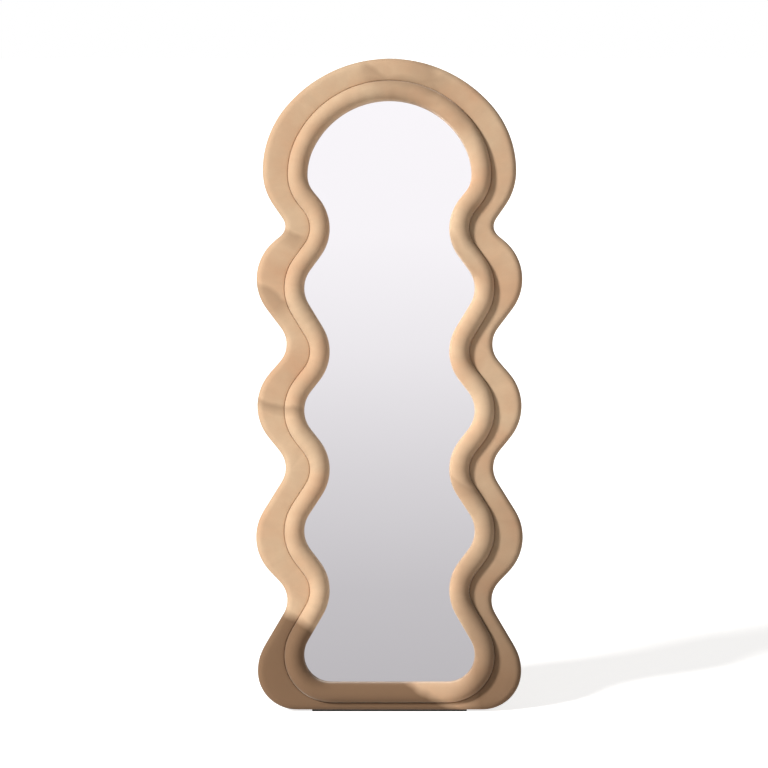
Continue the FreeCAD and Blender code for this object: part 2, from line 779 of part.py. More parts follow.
def screws(label, places, seat):
    """Pan-head screws driven forward, their heads on a face this far behind the board's back face."""
    body = new_body(label, LEANING)
    heads = Drawing(body, "heads", lift=-(seat + size("screw_head_height")))
    heads.circles(places, size("screw_head_radius"))
    pad(body, heads, size("screw_head_height"))
    shanks = Drawing(body, "shanks", lift=-seat)
    shanks.circles(places, size("screw_radius"))
    pad(body, shanks, size("screw_length"))


# ---------------------------------------------------------------- leg brackets and hangers


def across_x(body, name, side, place):
    """A sketch square to X, this far out on one side."""
    return Drawing(body, name, role="YZ_Plane", lift=place * side)


def hinge_bracket(name, side):
    body = new_body(f"hinge_bracket_{name}", LEANING)
    middle = LEG_REACH * side
    half = CHANNEL_HALF + size("plate_thickness")
    height, tall = PIN_HEIGHT, size("plate_height") / 2
    rear = PANEL_FACE + size("plate_thickness")
    plate = Drawing(body, "plate", lift=-rear)
    plate.rectangle(middle - half, middle + half, height - tall, height + tall)
    pad(body, plate, size("plate_thickness"))
    cheeks = Drawing(body, "cheeks", lift=-rear)
    low, high = height - size("cheek_height") / 2, height + size("cheek_height") / 2
    for inner, outer in ((-half, -CHANNEL_HALF), (CHANNEL_HALF, half)):
        cheeks.rectangle(middle + inner, middle + outer, low, high)
    channel = pad(body, cheeks, size("pin_standoff") + size("cheek_margin"), reverse=True)
    back = rear + size("pin_standoff") + size("cheek_margin")

    def at_rear_corner(edge):
        box = edge.BoundBox
        return abs(box.YMin - back.value) < 0.01 and abs(box.ZMax - box.ZMin) < 0.01

    corners = edges_where(channel, at_rear_corner)
    fillet(body, channel, corners, size("cheek_round"), "corners")
    doc.recompute()
    bore = across_x(body, "bore", side, LEG_REACH)
    bore.circle(PIN_DEPTH, height, size("pin_radius") + size("screw_play"))
    through(body, bore, half * 2)
    holes = Drawing(body, "screw_holes", lift=-rear)
    spread = size("bracket_screw_spread")
    holes.circles([(middle, height + spread), (middle, height - spread)], SCREW_HOLE)
    cut(body, holes, size("plate_thickness"))


def hinge_bolt(name, side):
    body = new_body(f"hinge_bolt_{name}", LEANING)
    height = PIN_HEIGHT
    half = CHANNEL_HALF + size("plate_thickness")
    outside = LEG_REACH + half
    shank = across_x(body, "shank", side, outside)
    shank.circle(PIN_DEPTH, height, size("pin_radius"))
    pad(body, shank, half * 2 + size("nut_height") / 2, reverse=side > 0)
    head = across_x(body, "head", side, outside)
    head.circle(PIN_DEPTH, height, size("bolt_head_radius"))
    blank = pad(body, head, size("bolt_head_height"), reverse=side < 0)
    face = side * (outside + size("bolt_head_height")).value
    fillet(body, blank, edges_at(blank, face), size("bolt_head_height") * DOME_SHARE, "dome")


def hinge_nut(name, side):
    """A cap nut on the bolt's inner end: a hexagon with a domed end and a blind bore."""
    body = new_body(f"hinge_nut_{name}", LEANING)
    height = PIN_HEIGHT
    inside = LEG_REACH - CHANNEL_HALF - size("plate_thickness")
    hexagon = across_x(body, "hexagon", side, inside)
    corners = []
    for turn in range(6):
        angle = as_size(60 * turn + 30)
        radius = size("nut_radius")
        corners.append((PIN_DEPTH + radius * cosine(angle), height + radius * sine(angle)))
    hexagon.polygon(corners)
    pad(body, hexagon, size("nut_height") / 2, reverse=side > 0)
    cap = across_x(body, "cap", side, inside)
    cap_radius = size("nut_radius") * cosine(as_size(30)) - size("screw_play")
    cap.circle(PIN_DEPTH, height, cap_radius)
    blank = pad(body, cap, size("nut_height"), reverse=side > 0)
    face = side * (inside - size("nut_height")).value
    fillet(body, blank, edges_at(blank, face), size("nut_height") / 2 * DOME_SHARE, "dome")
    doc.recompute()
    bore = across_x(body, "bore", side, inside)
    bore.circle(PIN_DEPTH, height, size("pin_radius") + size("screw_play"))
    cut(body, bore, size("nut_height") / 2 + size("screw_play"), reverse=side < 0)


def hanger_strap(name, side):
    body = new_body(f"hanger_strap_{name}", LEANING)
    middle = HANGER_REACH * side
    half = size("strap_width") / 2
    rear = PANEL_FACE + size("strap_thickness")
    plate = Drawing(body, "plate", lift=-rear)
    top = HANGER_HEIGHT
    plate.rectangle(middle - half, middle + half, top - size("strap_length"), top)
    pad(body, plate, size("strap_thickness"))
    barrel = across_x(body, "barrel", side, HANGER_REACH)
    barrel.circle(RING_DEPTH, top, BARREL_RADIUS)
    pad(body, barrel, size("strap_width"), symmetric=True)
    bore = across_x(body, "bore", side, HANGER_REACH)
    bore.circle(RING_DEPTH, top, BARREL_BORE)
    through(body, bore, size("strap_width"))
    holes = Drawing(body, "screw_holes", lift=-rear)
    places = [place for place in hanger_screw_places() if place[0].value * side > 0]
    holes.circles(places, SCREW_HOLE)
    cut(body, holes, size("strap_thickness"))


def hanger_ring(name, side):
    """A D of round wire that hangs from its straight bar."""
    back, up = leaned(RING_DEPTH, HANGER_HEIGHT)
    place = turned_about_x(HANGER_REACH * side, back, up, ZERO)
    body = new_body(f"hanger_ring_{name}", place)
    reach, leg, corner = size("ring_reach"), size("ring_leg"), size("ring_corner")
    path = Drawing(body, "path", lift=ZERO)
    wide, bar, foot = reach.value, (reach - corner).value, (-corner - leg).value
    parts = [
        path.line((0, 0), (-bar, 0)),
        path.arc(-bar, -corner.value, corner.value, math.pi / 2, math.pi),
        path.line((-wide, -corner.value), (-wide, foot)),
        path.arc(0, foot, wide, math.pi, 2 * math.pi),
        path.line((wide, foot), (wide, -corner.value)),
        path.arc(bar, -corner.value, corner.value, 0, math.pi / 2),
        path.line((bar, 0), (0, 0)),
    ]
    for one, other in zip(parts, parts[1:]):
        path.tie((one, 2), (other, 1))
    path.rule("Coincident", parts[6], 2, parts[0], 1)
    path.rule("Coincident", parts[0], 1, -1, 1)
    path.rule("Horizontal", parts[0])
    path.rule("Horizontal", parts[6])
    path.rule("Equal", parts[1], parts[5])
    path.bind("Radius", parts[1], corner)
    path.bind("Radius", parts[3], reach)
    path.rule("PointOnObject", parts[3], 3, -2)
    path.rule("Vertical", parts[2])
    path.bind("DistanceY", -1, 1, parts[3], 3, -corner - leg)
    section = Drawing(body, "section", role="YZ_Plane")
    section.circle(ZERO, ZERO, size("ring_wire_radius"))
    sweep(body, section, path)


# ---------------------------------------------------------------- the leg, drawn hanging from its pivot


def leg_tube():
    body = new_body("leg_tube", LEG_PLACE)
    reach, bend = LEG_REACH, size("leg_bend_radius")
    wide, inner, low = reach.value, (reach - bend).value, -LEG_LENGTH.value
    turn, top = (bend - LEG_LENGTH).value, TUBE_TOP.value
    path = Drawing(body, "path", lift=ZERO)
    parts = [
        path.line((-wide, top), (-wide, turn)),
        path.arc(-inner, turn, bend.value, math.pi, 1.5 * math.pi),
        path.line((-inner, low), (inner, low)),
        path.arc(inner, turn, bend.value, 1.5 * math.pi, 2 * math.pi),
        path.line((wide, turn), (wide, top)),
    ]
    for one, other in zip(parts, parts[1:]):
        path.tie((one, 2), (other, 1))
    for part, kind in zip(parts[::2], ("Vertical", "Horizontal", "Vertical")):
        path.rule(kind, part)
    path.rule("Symmetric", parts[0], 1, parts[4], 2, -2)
    path.rule("Equal", parts[1], parts[3])
    path.bind("Radius", parts[1], bend)
    path.bind("DistanceX", -1, 1, parts[0], 1, -reach)
    path.bind("DistanceY", -1, 1, parts[0], 1, TUBE_TOP)
    path.bind("DistanceY", -1, 1, parts[2], 1, -LEG_LENGTH)
    section = Drawing(body, "section", role="XY_Plane", lift=TUBE_TOP)
    section.circle(-reach, ZERO, size("tube_radius"))
    section.circle(-reach, ZERO, size("tube_radius") - size("tube_wall"))
    sweep(body, section, path)
    bores = Drawing(body, "bores", role="YZ_Plane")
    bores.circle(ZERO, ZERO, BUSH_RADIUS + size("screw_play"))
    through(body, bores, (reach + size("tube_radius")) * 2 + size("side_gap"))


def end_cap(name, side):
    body = new_body(f"end_cap_{name}", LEG_PLACE)
    middle = LEG_REACH * side
    disc = Drawing(body, "disc", role="XY_Plane", lift=TUBE_TOP)
    disc.circle(middle, ZERO, size("tube_radius"))
    blank = pad(body, disc, size("cap_height"))

    def on_top(edge):
        return abs(edge.BoundBox.ZMin - CAP_TOP.value) < 0.01

    fillet(body, blank, edges_where(blank, on_top), size("cap_round"), "edge")
    doc.recompute()
    plug = Drawing(body, "plug", role="XY_Plane", lift=TUBE_TOP)
    plug.circle(middle, ZERO, size("tube_radius") - size("tube_wall") - size("sleeve_play"))
    pad(body, plug, size("cap_plug"), reverse=True)


def pivot_bush(name, side):
    """Nylon sleeve through the tube. Its ends stand out and keep the tube off the bracket's cheeks."""
    body = new_body(f"pivot_bush_{name}", LEG_PLACE)
    ring = across_x(body, "ring", side, LEG_REACH)
    ring.circle(ZERO, ZERO, BUSH_RADIUS)
    ring.circle(ZERO, ZERO, size("pin_radius") + size("running_fit"))
    pad(body, ring, (CHANNEL_HALF - size("bush_play")) * 2, symmetric=True)


def leg_sleeve(name, side):
    body = new_body(f"leg_sleeve_{name}", LEG_PLACE)
    place = LEG_REACH - size("leg_bend_radius") - size("sleeve_length") / 2
    ring = across_x(body, "ring", side, place)
    ring.circle(ZERO, -LEG_LENGTH, SLEEVE_RADIUS)
    ring.circle(ZERO, -LEG_LENGTH, size("tube_radius") + size("sleeve_play"))
    pad(body, ring, size("sleeve_length"), symmetric=True)


def foot_strip():
    """Rubber under the frame, its sole cut level while the mirror leans."""
    body = new_body("foot_strip", LEANING)
    middle, half = -size("strip_depth"), size("strip_width") / 2
    front, rear = middle - half, middle + half
    slope = half * tangent(LEAN)
    low = -size("strip_height")
    section = Drawing(body, "section", role="YZ_Plane")
    section.polygon([(front, ZERO), (front, low - slope), (rear, low + slope), (rear, ZERO)])
    pad(body, section, size("strip_length"), symmetric=True)


# ---------------------------------------------------------------- the whole part


def build():
    frame_board()
    edge_padding()
    rim_velvet()
    roll_core()
    roll_velvet()
    glazing()
    backing_board()
    foot_strip()
    screws("panel_screws", panel_screw_places(), PANEL_FACE)
    screws("bracket_screws", bracket_screw_places(), PANEL_FACE + size("plate_thickness"))
    screws("hanger_screws", hanger_screw_places(), PANEL_FACE + size("strap_thickness"))
    leg_tube()
    for name, side in SIDES:
        for piece in (hinge_bracket, hinge_bolt, hinge_nut, hanger_strap, hanger_ring):
            piece(name, side)
        for piece in (end_cap, pivot_bush, leg_sleeve):
            piece(name, side)
    doc.recompute()


BOOLEANS = ("Part::Cut", "Part::Common")


def used_up(item):
    """Whether another solid is cut from or by this one, so that it is no piece of its own."""
    return any(user.TypeId in BOOLEANS for user in item.InList)


def check_and_write():
    """Every object has to be sound before any file is written."""
    for item in doc.Objects:
        faults = {"Invalid", "Error"} & set(item.State)
        if faults:
            raise RuntimeError(f"{item.Label} is {faults}")
    kinds = ("PartDesign::Body", *BOOLEANS)
    pieces = [item for item in doc.Objects if item.TypeId in kinds and not used_up(item)]
    for piece in pieces:
        if piece.Shape.isNull() or not piece.Shape.isValid():
            raise RuntimeError(f"{piece.Label} has no valid shape")
    os.makedirs("parts", exist_ok=True)
    for piece in pieces:
        piece.Shape.exportStep(f"parts/{piece.Label}.step")


build()
check_and_write()
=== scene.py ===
import math
import random

import bmesh
import bpy
import numpy as np
from bpy.props import FloatProperty, FloatVectorProperty, IntProperty, PointerProperty
from mathutils import Matrix, Vector


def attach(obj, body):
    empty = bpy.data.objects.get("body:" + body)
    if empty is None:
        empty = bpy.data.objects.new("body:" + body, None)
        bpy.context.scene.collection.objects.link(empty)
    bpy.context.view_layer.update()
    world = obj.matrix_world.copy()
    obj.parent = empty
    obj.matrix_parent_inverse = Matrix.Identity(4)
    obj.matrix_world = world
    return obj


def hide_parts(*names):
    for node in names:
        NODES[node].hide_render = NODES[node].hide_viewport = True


bl_info = {
    "name": "Wavy velvet mirror",
    "version": (1, 0, 0),
    "blender": (4, 5, 0),
    "location": "3D View > Sidebar > Wavy Mirror",
    "description": "Dresses a wavy full-length mirror: velvet, silvered glass, back hardware and studio",
    "category": "Object",
}

MM = 0.001
JOIN = 0.002 * MM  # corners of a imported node's triangles nearer than this are one corner
WELD = 0.001 * MM  # the same where a screw's turned profile closes
PHOTO_SIDE, PHOTO_SCALE = 768, 2.4578 * MM  # the photo's pixels across, and the size of one at the mirror

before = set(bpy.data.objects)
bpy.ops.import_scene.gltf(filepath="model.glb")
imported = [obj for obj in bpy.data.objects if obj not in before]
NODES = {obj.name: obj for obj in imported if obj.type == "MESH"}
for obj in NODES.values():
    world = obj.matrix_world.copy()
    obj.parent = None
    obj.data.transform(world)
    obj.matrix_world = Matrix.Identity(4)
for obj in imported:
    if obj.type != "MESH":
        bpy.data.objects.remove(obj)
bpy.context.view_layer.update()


# ---------------------------------------------------------------- sizes and colours a user would change


def shade(red, green, blue, alpha=1.0):
    """A colour given as on screen, 0 to 255, in the linear values that shaders take."""
    def linear(value):
        share = value / 255
        return share / 12.92 if share <= 0.04045 else ((share + 0.055) / 1.055) ** 2.4
    return (linear(red), linear(green), linear(blue), alpha)


def colour(name, description, *rgb):
    return FloatVectorProperty(
        name=name, description=description, subtype="COLOR", size=4, min=0.0, max=1.0, default=shade(*rgb)
    )


def length(name, description, default):
    return FloatProperty(name=name, description=description, unit="LENGTH", default=default, min=0.0)


class WavyVelvet(bpy.types.PropertyGroup):
    tone: colour("Velvet", "Colour of the pile where it lies flat", 202, 174, 144)
    warm_tone: colour("Warm velvet", "Colour of the pile where it lies across", 196, 159, 128)
    # colour of the painted shadows on the velvet: the corner patch and the listed patches of shade take it
    shadow_tone: colour("Turned velvet", "Colour of the pile where it is brushed over", 117, 92, 71)
    thickness: length("Thickness", "Pile with its backing", 1.2 * MM)
    crown: length("Crown", "How far the padding swells the flat of the rim", 0.5 * MM)
    edge_round: length("Edge rounding", "Radius at the rim's outer front edge", 16 * MM)
    back_round: length("Back rounding", "Radius where the velvet turns behind the board", 2.5 * MM)
    crease_round: length("Crease rounding", "Radius where the rim's velvet dips beside the roll", 2.0 * MM)
    pleat_depth: length("Pleat depth", "Height of the gathers behind the rim's crests", 0.9 * MM)
    pleat_pitch: length("Pleat pitch", "From one gather to the next", 13 * MM)
    ripple_depth: length("Ripple depth", "Height of the puckers inside the roll's bends", 0.22 * MM)
    ripple_pitch: length("Ripple pitch", "From one pucker to the next", 17 * MM)
    stations: IntProperty(name="Stations", description="Sections round the frame", default=900, min=200)
    flat_rows: IntProperty(name="Flat rows", description="Rows of faces on the rim's flat", default=9, min=2)


class WavyGlass(bpy.types.PropertyGroup):
    silver: colour("Silvering", "Reflection colour of the mirror", 250, 250, 251)


class WavyHardware(bpy.types.PropertyGroup):
    coat: colour("Powder coat", "Leg and brackets", 33, 33, 34)
    zinc: colour("Zinc plating", "Screws, bolts, nuts, straps and rings", 198, 199, 196)
    staple_pitch: length("Staple pitch", "From one staple to the next", 42 * MM)
    staple_crown: length("Staple crown", "Length of a staple's back", 10 * MM)
    staple_wire: length("Staple wire", "Thickness of its flattened wire", 0.6 * MM)
    staple_inset: length("Staple inset", "From the rim to the row of staples", 11 * MM)
    bracket_edge: length("Bracket edges", "Bevel on the brackets' edges", 0.4 * MM)
    strap_edge: length("Strap edges", "Bevel on the hanger straps' edges", 0.3 * MM)
    sleeve_edge: length("Sleeve edges", "Bevel on the leg sleeves' edges", 0.5 * MM)
    head_height: length("Screw head", "Height of a screw's head", 2.2 * MM)
    shank_radius: length("Screw shank", "Radius of a screw over its thread", 1.6 * MM)
    recess_radius: length("Screw recess", "Half the length of the cross in a screw's head", 2.0 * MM)
    recess_width: length("Recess width", "Width of that cross's arms", 0.8 * MM)
    recess_depth: length("Recess depth", "Depth of that cross", 1.2 * MM)


class WavyStage(bpy.types.PropertyGroup):
    floor: colour("Floor", "Pale floor", 244, 243, 241)
    key: FloatProperty(name="Key light", description="Strength of the light from the left", default=4.4)
    key_softness: FloatProperty(
        name="Key softness", description="Angular size of the key light", subtype="ANGLE",
        default=math.radians(10),
    )
    ambient: FloatProperty(name="Ambient light", description="Light from all round", default=0.2)
    floor_lift: FloatProperty(name="Floor lift", description="Lifts the seen floor to white", default=0.72)
    camera_distance: length("Camera distance", "From the lens to the mirror", 8.0)
    picture_width: length("Picture width", "Width of the picture at the mirror", PHOTO_SIDE * PHOTO_SCALE)
    aim_across: FloatProperty(
        name="Aim across", description="Picture's middle from the mirror's", unit="LENGTH", default=-13.5 * MM
    )
    aim_up: length("Aim up", "Picture's middle above the frame's bottom edge", 800 * MM)


def sizes(name):
    return getattr(bpy.context.scene, f"wavy_{name}")


# ---------------------------------------------------------------- the leaning mirror's own axes


def mesh_copy(node):
    """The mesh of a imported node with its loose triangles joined, as a bmesh to work on."""
    bm = bmesh.new()
    bm.from_mesh(NODES[node].data)
    bmesh.ops.remove_doubles(bm, verts=bm.verts, dist=JOIN)
    return bm


def front_normal():
    """Direction that the glass faces, from the faces that look at the viewer."""
    bm = mesh_copy("mirror_glass")
    total = Vector()
    for face in bm.faces:
        if face.normal.y < -0.9:
            total += face.normal * face.calc_area()
    bm.free()
    return total.normalized()


def lowest_along(node, direction):
    return min(vertex.co.dot(direction) for vertex in NODES[node].data.vertices)


FACING = front_normal()
LEAN = math.atan2(FACING.z, -FACING.y)
UP = Vector((0, math.sin(LEAN), math.cos(LEAN)))
BOARD_BACK = lowest_along("frame_board", FACING)
BOTTOM_EDGE = lowest_along("rim_velvet", UP)
# upright: X across, Y backwards from the board's back face, Z up from the frame's bottom edge
TO_WORLD = Matrix.Translation(FACING * BOARD_BACK + UP * BOTTOM_EDGE) @ Matrix.Rotation(-LEAN, 4, "X")
TO_UPRIGHT = TO_WORLD.inverted()


def span_upright(node):
    """Lowest and highest corner of a node in the upright mirror's axes."""
    points = np.array([TO_UPRIGHT @ vertex.co for vertex in NODES[node].data.vertices])
    return points.min(0), points.max(0)


def front_depth(node):
    """How far a node's front face lies before the board's back face."""
    return -span_upright(node)[0][1]


def lengths_of(layer):
    """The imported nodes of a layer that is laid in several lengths."""
    return [name for name in NODES if name.startswith(layer)]


# ---------------------------------------------------------------- outlines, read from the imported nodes


def slice_loops(node, depth):
    """The closed outlines of a node where a plane this far before the board's back face cuts it."""
    bm = mesh_copy(node)
    bm.transform(TO_UPRIGHT)
    geometry = bm.verts[:] + bm.edges[:] + bm.faces[:]
    made = bmesh.ops.bisect_plane(
        bm, geom=geometry, plane_co=(0, -depth, 0), plane_no=(0, 1, 0), clear_inner=True, clear_outer=True
    )
    edges = {item for item in made["geom_cut"] if isinstance(item, bmesh.types.BMEdge)}
    loops = []
    while edges:
        edge = edges.pop()
        loop = [edge.verts[0], edge.verts[1]]
        while True:
            following = next((item for item in loop[-1].link_edges if item in edges), None)
            if following is None:
                break
            edges.discard(following)
            loop.append(following.other_vert(loop[-1]))
        loops.append(np.array([(vertex.co.x, vertex.co.z) for vertex in loop[:-1]]))
    bm.free()
    return sorted(loops, key=lambda points: np.ptp(points[:, 1]))


def even(points, count):
    """Points at equal distances along a closed outline, the first one where it starts."""
    closed = np.vstack([points, points[:1]])
    reach = np.concatenate([[0.0], np.cumsum(np.linalg.norm(np.diff(closed, axis=0), axis=1))])
    places = np.linspace(0.0, reach[-1], count, endpoint=False)
    return np.stack([np.interp(places, reach, closed[:, axis]) for axis in (0, 1)], axis=1)


class Outline:
    """A smooth closed curve in the mirror's plane, run through from its bottom middle up the right side."""

    FINE = 2400  # points on the curve
    SOFTEN = 5 * MM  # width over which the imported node's corners are smoothed out

    def __init__(self, points):
        area = np.sum(points[:, 0] * np.roll(points[:, 1], -1) - points[:, 1] * np.roll(points[:, 0], -1))
        points = points if area > 0 else points[::-1]
        fine = even(points, self.FINE)
        start = np.argmin(np.abs(fine[:, 0]) + (fine[:, 1] > fine[:, 1].mean()))
        fine = np.roll(fine, -start, axis=0)
        pitch = np.linalg.norm(fine[1] - fine[0])
        half = int(3 * self.SOFTEN / pitch)
        weights = np.exp(-0.5 * (np.arange(-half, half + 1) * pitch / self.SOFTEN) ** 2)
        weights /= weights.sum()
        shifts = range(-half, half + 1)
        self.points = sum(np.roll(fine, shift, axis=0) * weight for shift, weight in zip(shifts, weights))

    def stations(self, count):
        """Evenly spaced points and the directions square to the curve, pointing away from the glass."""
        points = even(self.points, count)
        along = np.roll(points, -1, axis=0) - np.roll(points, 1, axis=0)
        along /= np.linalg.norm(along, axis=1)[:, None]
        return points, np.stack([along[:, 1], -along[:, 0]], axis=1)

    def met_by(self, points, directions):
        """Where rays from points meet this curve, and the curve's own outward direction there."""
        starts = self.points
        ends = np.roll(starts, -1, axis=0)
        runs = ends - starts
        gaps = starts[None] - points[:, None]
        cross = directions[:, None, 0] * runs[None, :, 1] - directions[:, None, 1] * runs[None, :, 0]
        cross = np.where(np.abs(cross) < 1e-12, 1e-12, cross)
        reach = (gaps[..., 0] * runs[None, :, 1] - gaps[..., 1] * runs[None, :, 0]) / cross
        share = (gaps[..., 0] * directions[:, None, 1] - gaps[..., 1] * directions[:, None, 0]) / cross
        reach = np.where((share >= 0) & (share <= 1) & (reach > 0), reach, np.inf)
        nearest = reach.argmin(axis=1)
        met = points + directions * reach.min(axis=1)[:, None]
        along = np.roll(ends, -1, axis=0)[nearest] - np.roll(starts, 1, axis=0)[nearest]
        along /= np.linalg.norm(along, axis=1)[:, None]
        return met, np.stack([along[:, 1], -along[:, 0]], axis=1)


def bend_of(directions, points):
    """How sharply a closed row of stations bends, in radians per metre, positive where it bulges outwards."""
    before, after = np.roll(directions, 1, axis=0), np.roll(directions, -1, axis=0)
    turn = before[:, 0] * after[:, 1] - before[:, 1] * after[:, 0]
    run = np.linalg.norm(np.roll(points, -1, axis=0) - np.roll(points, 1, axis=0), axis=1)
    return turn / run


def eased(low, high, value):
    share = np.clip((value - low) / (high - low), 0.0, 1.0)
    return share * share * (3 - 2 * share)


# ---------------------------------------------------------------- meshes


def add_object(name, data):
    """An object that shows a mesh, a light or a camera in the scene."""
    made = bpy.data.objects.new(name, data)
    bpy.context.scene.collection.objects.link(made)
    return made


def new_piece(name, bm, material, body="mirror"):
    """A finished object from a bmesh in world axes, riding on a body."""
    mesh = bpy.data.meshes.new(name)
    bm.to_mesh(mesh)
    bm.free()
    mesh.materials.append(material)
    for polygon in mesh.polygons:
        polygon.use_smooth = True
    piece = add_object(name, mesh)
    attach(piece, body)
    return piece


def upright_point(place, depth):
    """World point of a place in the mirror's plane, this far before the board's back face."""
    return TO_WORLD @ Vector((place[0], -depth, place[1]))


def band(rows):
    """A closed band of faces: the first row of stations is drawn, and then extruded from row to row.

    Each row is a pair: the stations' places in the mirror's plane, and their depths.
    """
    bm = bmesh.new()
    station = bm.verts.layers.int.new("station")
    row_of = bm.verts.layers.int.new("row")
    count = len(rows[0][0])
    ring = [bm.verts.new() for _ in range(count)]
    for index, vertex in enumerate(ring):
        vertex[station] = index
    edges = [bm.edges.new(pair) for pair in zip(ring, ring[1:] + ring[:1])]

    def settle(vertices, row):
        places, depths = rows[row]
        for vertex in vertices:
            index = vertex[station]
            vertex[row_of] = row
            vertex.co = upright_point(places[index], depths[index])

    settle(ring, 0)
    for row in range(1, len(rows)):
        made = bmesh.ops.extrude_edge_only(bm, edges=edges)["geom"]
        settle([item for item in made if isinstance(item, bmesh.types.BMVert)], row)
        edges = [item for item in made if isinstance(item, bmesh.types.BMEdge)]
    bmesh.ops.recalc_face_normals(bm, faces=bm.faces)
    lay_cloth_map(bm, rows)
    return bm


def lay_cloth_map(bm, rows):
    """A UV map in metres: along the frame, and across the velvet."""
    layer = bm.loops.layers.uv.new("cloth")
    station = bm.verts.layers.int["station"]
    row_of = bm.verts.layers.int["row"]
    count = len(rows[0][0])
    pitch = np.linalg.norm(rows[0][0][1] - rows[0][0][0])
    solid = [np.column_stack([places, depths]) for places, depths in rows]
    steps = [np.linalg.norm(one - other, axis=1).mean() for one, other in zip(solid, solid[1:])]
    across = np.concatenate([[0.0], np.cumsum(steps)])
    for face in bm.faces:
        stations = {vertex[station] for vertex in face.verts}
        at_seam = {0, count - 1} <= stations
        for loop in face.loops:
            index = loop.vert[station]
            along = count if at_seam and index == 0 else index
            loop[layer].uv = (along * pitch, across[loop.vert[row_of]])


def level(value, count):
    return np.full(count, float(value))


def face_outwards(bm, point):
    """Turns the faces so that those nearest a point outside the piece look towards it."""
    face = min(bm.faces, key=lambda item: (item.calc_center_median() - point).length)
    if face.normal.dot(point - face.calc_center_median()) < 0:
        bmesh.ops.reverse_faces(bm, faces=bm.faces)


def line_cloth(piece, thickness):
    """Gives a sheet of velvet its thickness, inwards from its pile."""
    solid = piece.modifiers.new("thickness", "SOLIDIFY")
    solid.thickness = thickness
    solid.offset = -1.0


# ---------------------------------------------------------------- materials


class Nodes:
    """A node tree, with short calls that add a node, set its sockets and give what it puts out."""

    def __init__(self, tree):
        self.tree = tree
        tree.nodes.clear()

    def put(self, socket, value):
        """A socket takes a plain value, or another node's output."""
        if isinstance(value, bpy.types.NodeSocket):
            self.tree.links.new(value, socket)
        else:
            socket.default_value = value

    def node(self, kind, settings=None, **sockets):
        node = self.tree.nodes.new(kind)
        for name, value in (settings or {}).items():
            setattr(node, name, value)
        for name, value in sockets.items():
            self.put(node.inputs[name.replace("_", " ")], value)
        return node

    def in_order(self, kind, settings, *values):
        """The output of a node whose sockets are filled from the first on."""
        node = self.node(kind, settings)
        for socket, value in zip(node.inputs, values):
            self.put(socket, value)
        return node.outputs[0]

    def object_place(self):
        return self.node("ShaderNodeTexCoord").outputs["Object"]

    def split(self, vector):
        """A vector's parts, by the names of their axes."""
        return self.node("ShaderNodeSeparateXYZ", Vector=vector).outputs

    def stretched(self, place, scale):
        """Coordinates scaled by axis, which draws a pattern out along the axis with the lowest scale."""
        return self.node("ShaderNodeMapping", Vector=place, Scale=scale).outputs["Vector"]

    def noise(self, place, scale, detail=2.0, roughness=0.5):
        """Soft patches, about this many to a unit of the coordinates."""
        sockets = {"Vector": place, "Scale": scale, "Detail": detail, "Roughness": roughness}
        return self.node("ShaderNodeTexNoise", **sockets).outputs["Fac"]

    def cells(self, place, scale):
        """Distance from the nearest of scattered points, about this many to a unit."""
        return self.node("ShaderNodeTexVoronoi", Vector=place, Scale=scale).outputs["Distance"]

    def between(self, value, low, high, to_low=0.0, to_high=1.0):
        """Goes from one value to another while the input goes from low to high, and no further."""
        sockets = {"From Min": low, "From Max": high, "To Min": to_low, "To Max": to_high}
        return self.node("ShaderNodeMapRange", Value=value, **sockets).outputs["Result"]

    def mix(self, share, one, other):
        """One colour or the other, by a share."""
        node = self.node("ShaderNodeMix", {"data_type": "RGBA"})
        for name, kind, value in (("Factor", "VALUE", share), ("A", "RGBA", one), ("B", "RGBA", other)):
            self.put(next(item for item in node.inputs if item.name == name and item.type == kind), value)
        return next(item for item in node.outputs if item.type == "RGBA")

    def blend(self, share, one, other):
        """One surface or the other, by a share."""
        return self.in_order("ShaderNodeMixShader", None, share, one, other)

    def math(self, one, other, operation="ADD"):
        return self.in_order("ShaderNodeMath", {"operation": operation}, one, other)

    def bump(self, height, distance, strength=1.0):
        node = self.node("ShaderNodeBump", Height=height, Distance=distance, Strength=strength)
        return node.outputs["Normal"]


class Shader(Nodes):
    """A material's nodes, with its surface joined to the output."""

    def __init__(self, name, kind="ShaderNodeBsdfPrincipled"):
        self.material = bpy.data.materials.new(name)
        self.material.use_nodes = True
        super().__init__(self.material.node_tree)
        self.surface = self.node(kind)
        self.output = self.node("ShaderNodeOutputMaterial", Surface=self.surface.outputs[0])

    def finish(self, **sockets):
        for name, value in sockets.items():
            self.put(self.surface.inputs[name.replace("_", " ")], value)
        return self.material


def tinted(tone, factor):
    """A colour made lighter or darker."""
    return tuple(min(1.0, channel * factor) for channel in tone[:3]) + (1.0,)


class PaintedShadow:
    """A painted shadow on the velvet: sharp along one edge, and fading out on the edge's left.

    The edge's middle lies this far across and up the mirror, in millimetres. The edge is drawn at an angle
    from level, in degrees, reaches this far both ways, and is as sharp as its own width says.
    """

    FULL = 0.6  # share of the reach over which the mark is at its strongest

    def __init__(self, across, up, angle, reach, fade, strength, sharp):
        self.across, self.up, self.angle = across * MM, up * MM, math.radians(angle)
        self.reach, self.fade, self.sharp = reach * MM, fade * MM, sharp * MM
        self.strength = strength

    def share(self, shader, place, wander):
        """How strong the painted shadow is, as a shader's value."""
        middle = upright_point((self.across, self.up), 0.0)
        local = shader.in_order("ShaderNodeVectorMath", {"operation": "SUBTRACT"}, place, middle)
        turned = shader.node("ShaderNodeMapping", Vector=local, Rotation=(0.0, self.angle, 0.0))
        parts = shader.split(turned.outputs["Vector"])
        along, behind = parts["X"], shader.math(parts["Z"], wander)
        past = shader.between(behind, -self.sharp / 2, self.sharp / 2)
        left = shader.between(behind, 0.0, self.fade, 1.0, 0.0)
        length = shader.math(along, 0.0, "ABSOLUTE")
        inside = shader.between(length, self.reach, self.reach * self.FULL)
        body = shader.math(shader.math(past, left, "MULTIPLY"), inside, "MULTIPLY")
        return shader.math(body, self.strength, "MULTIPLY")
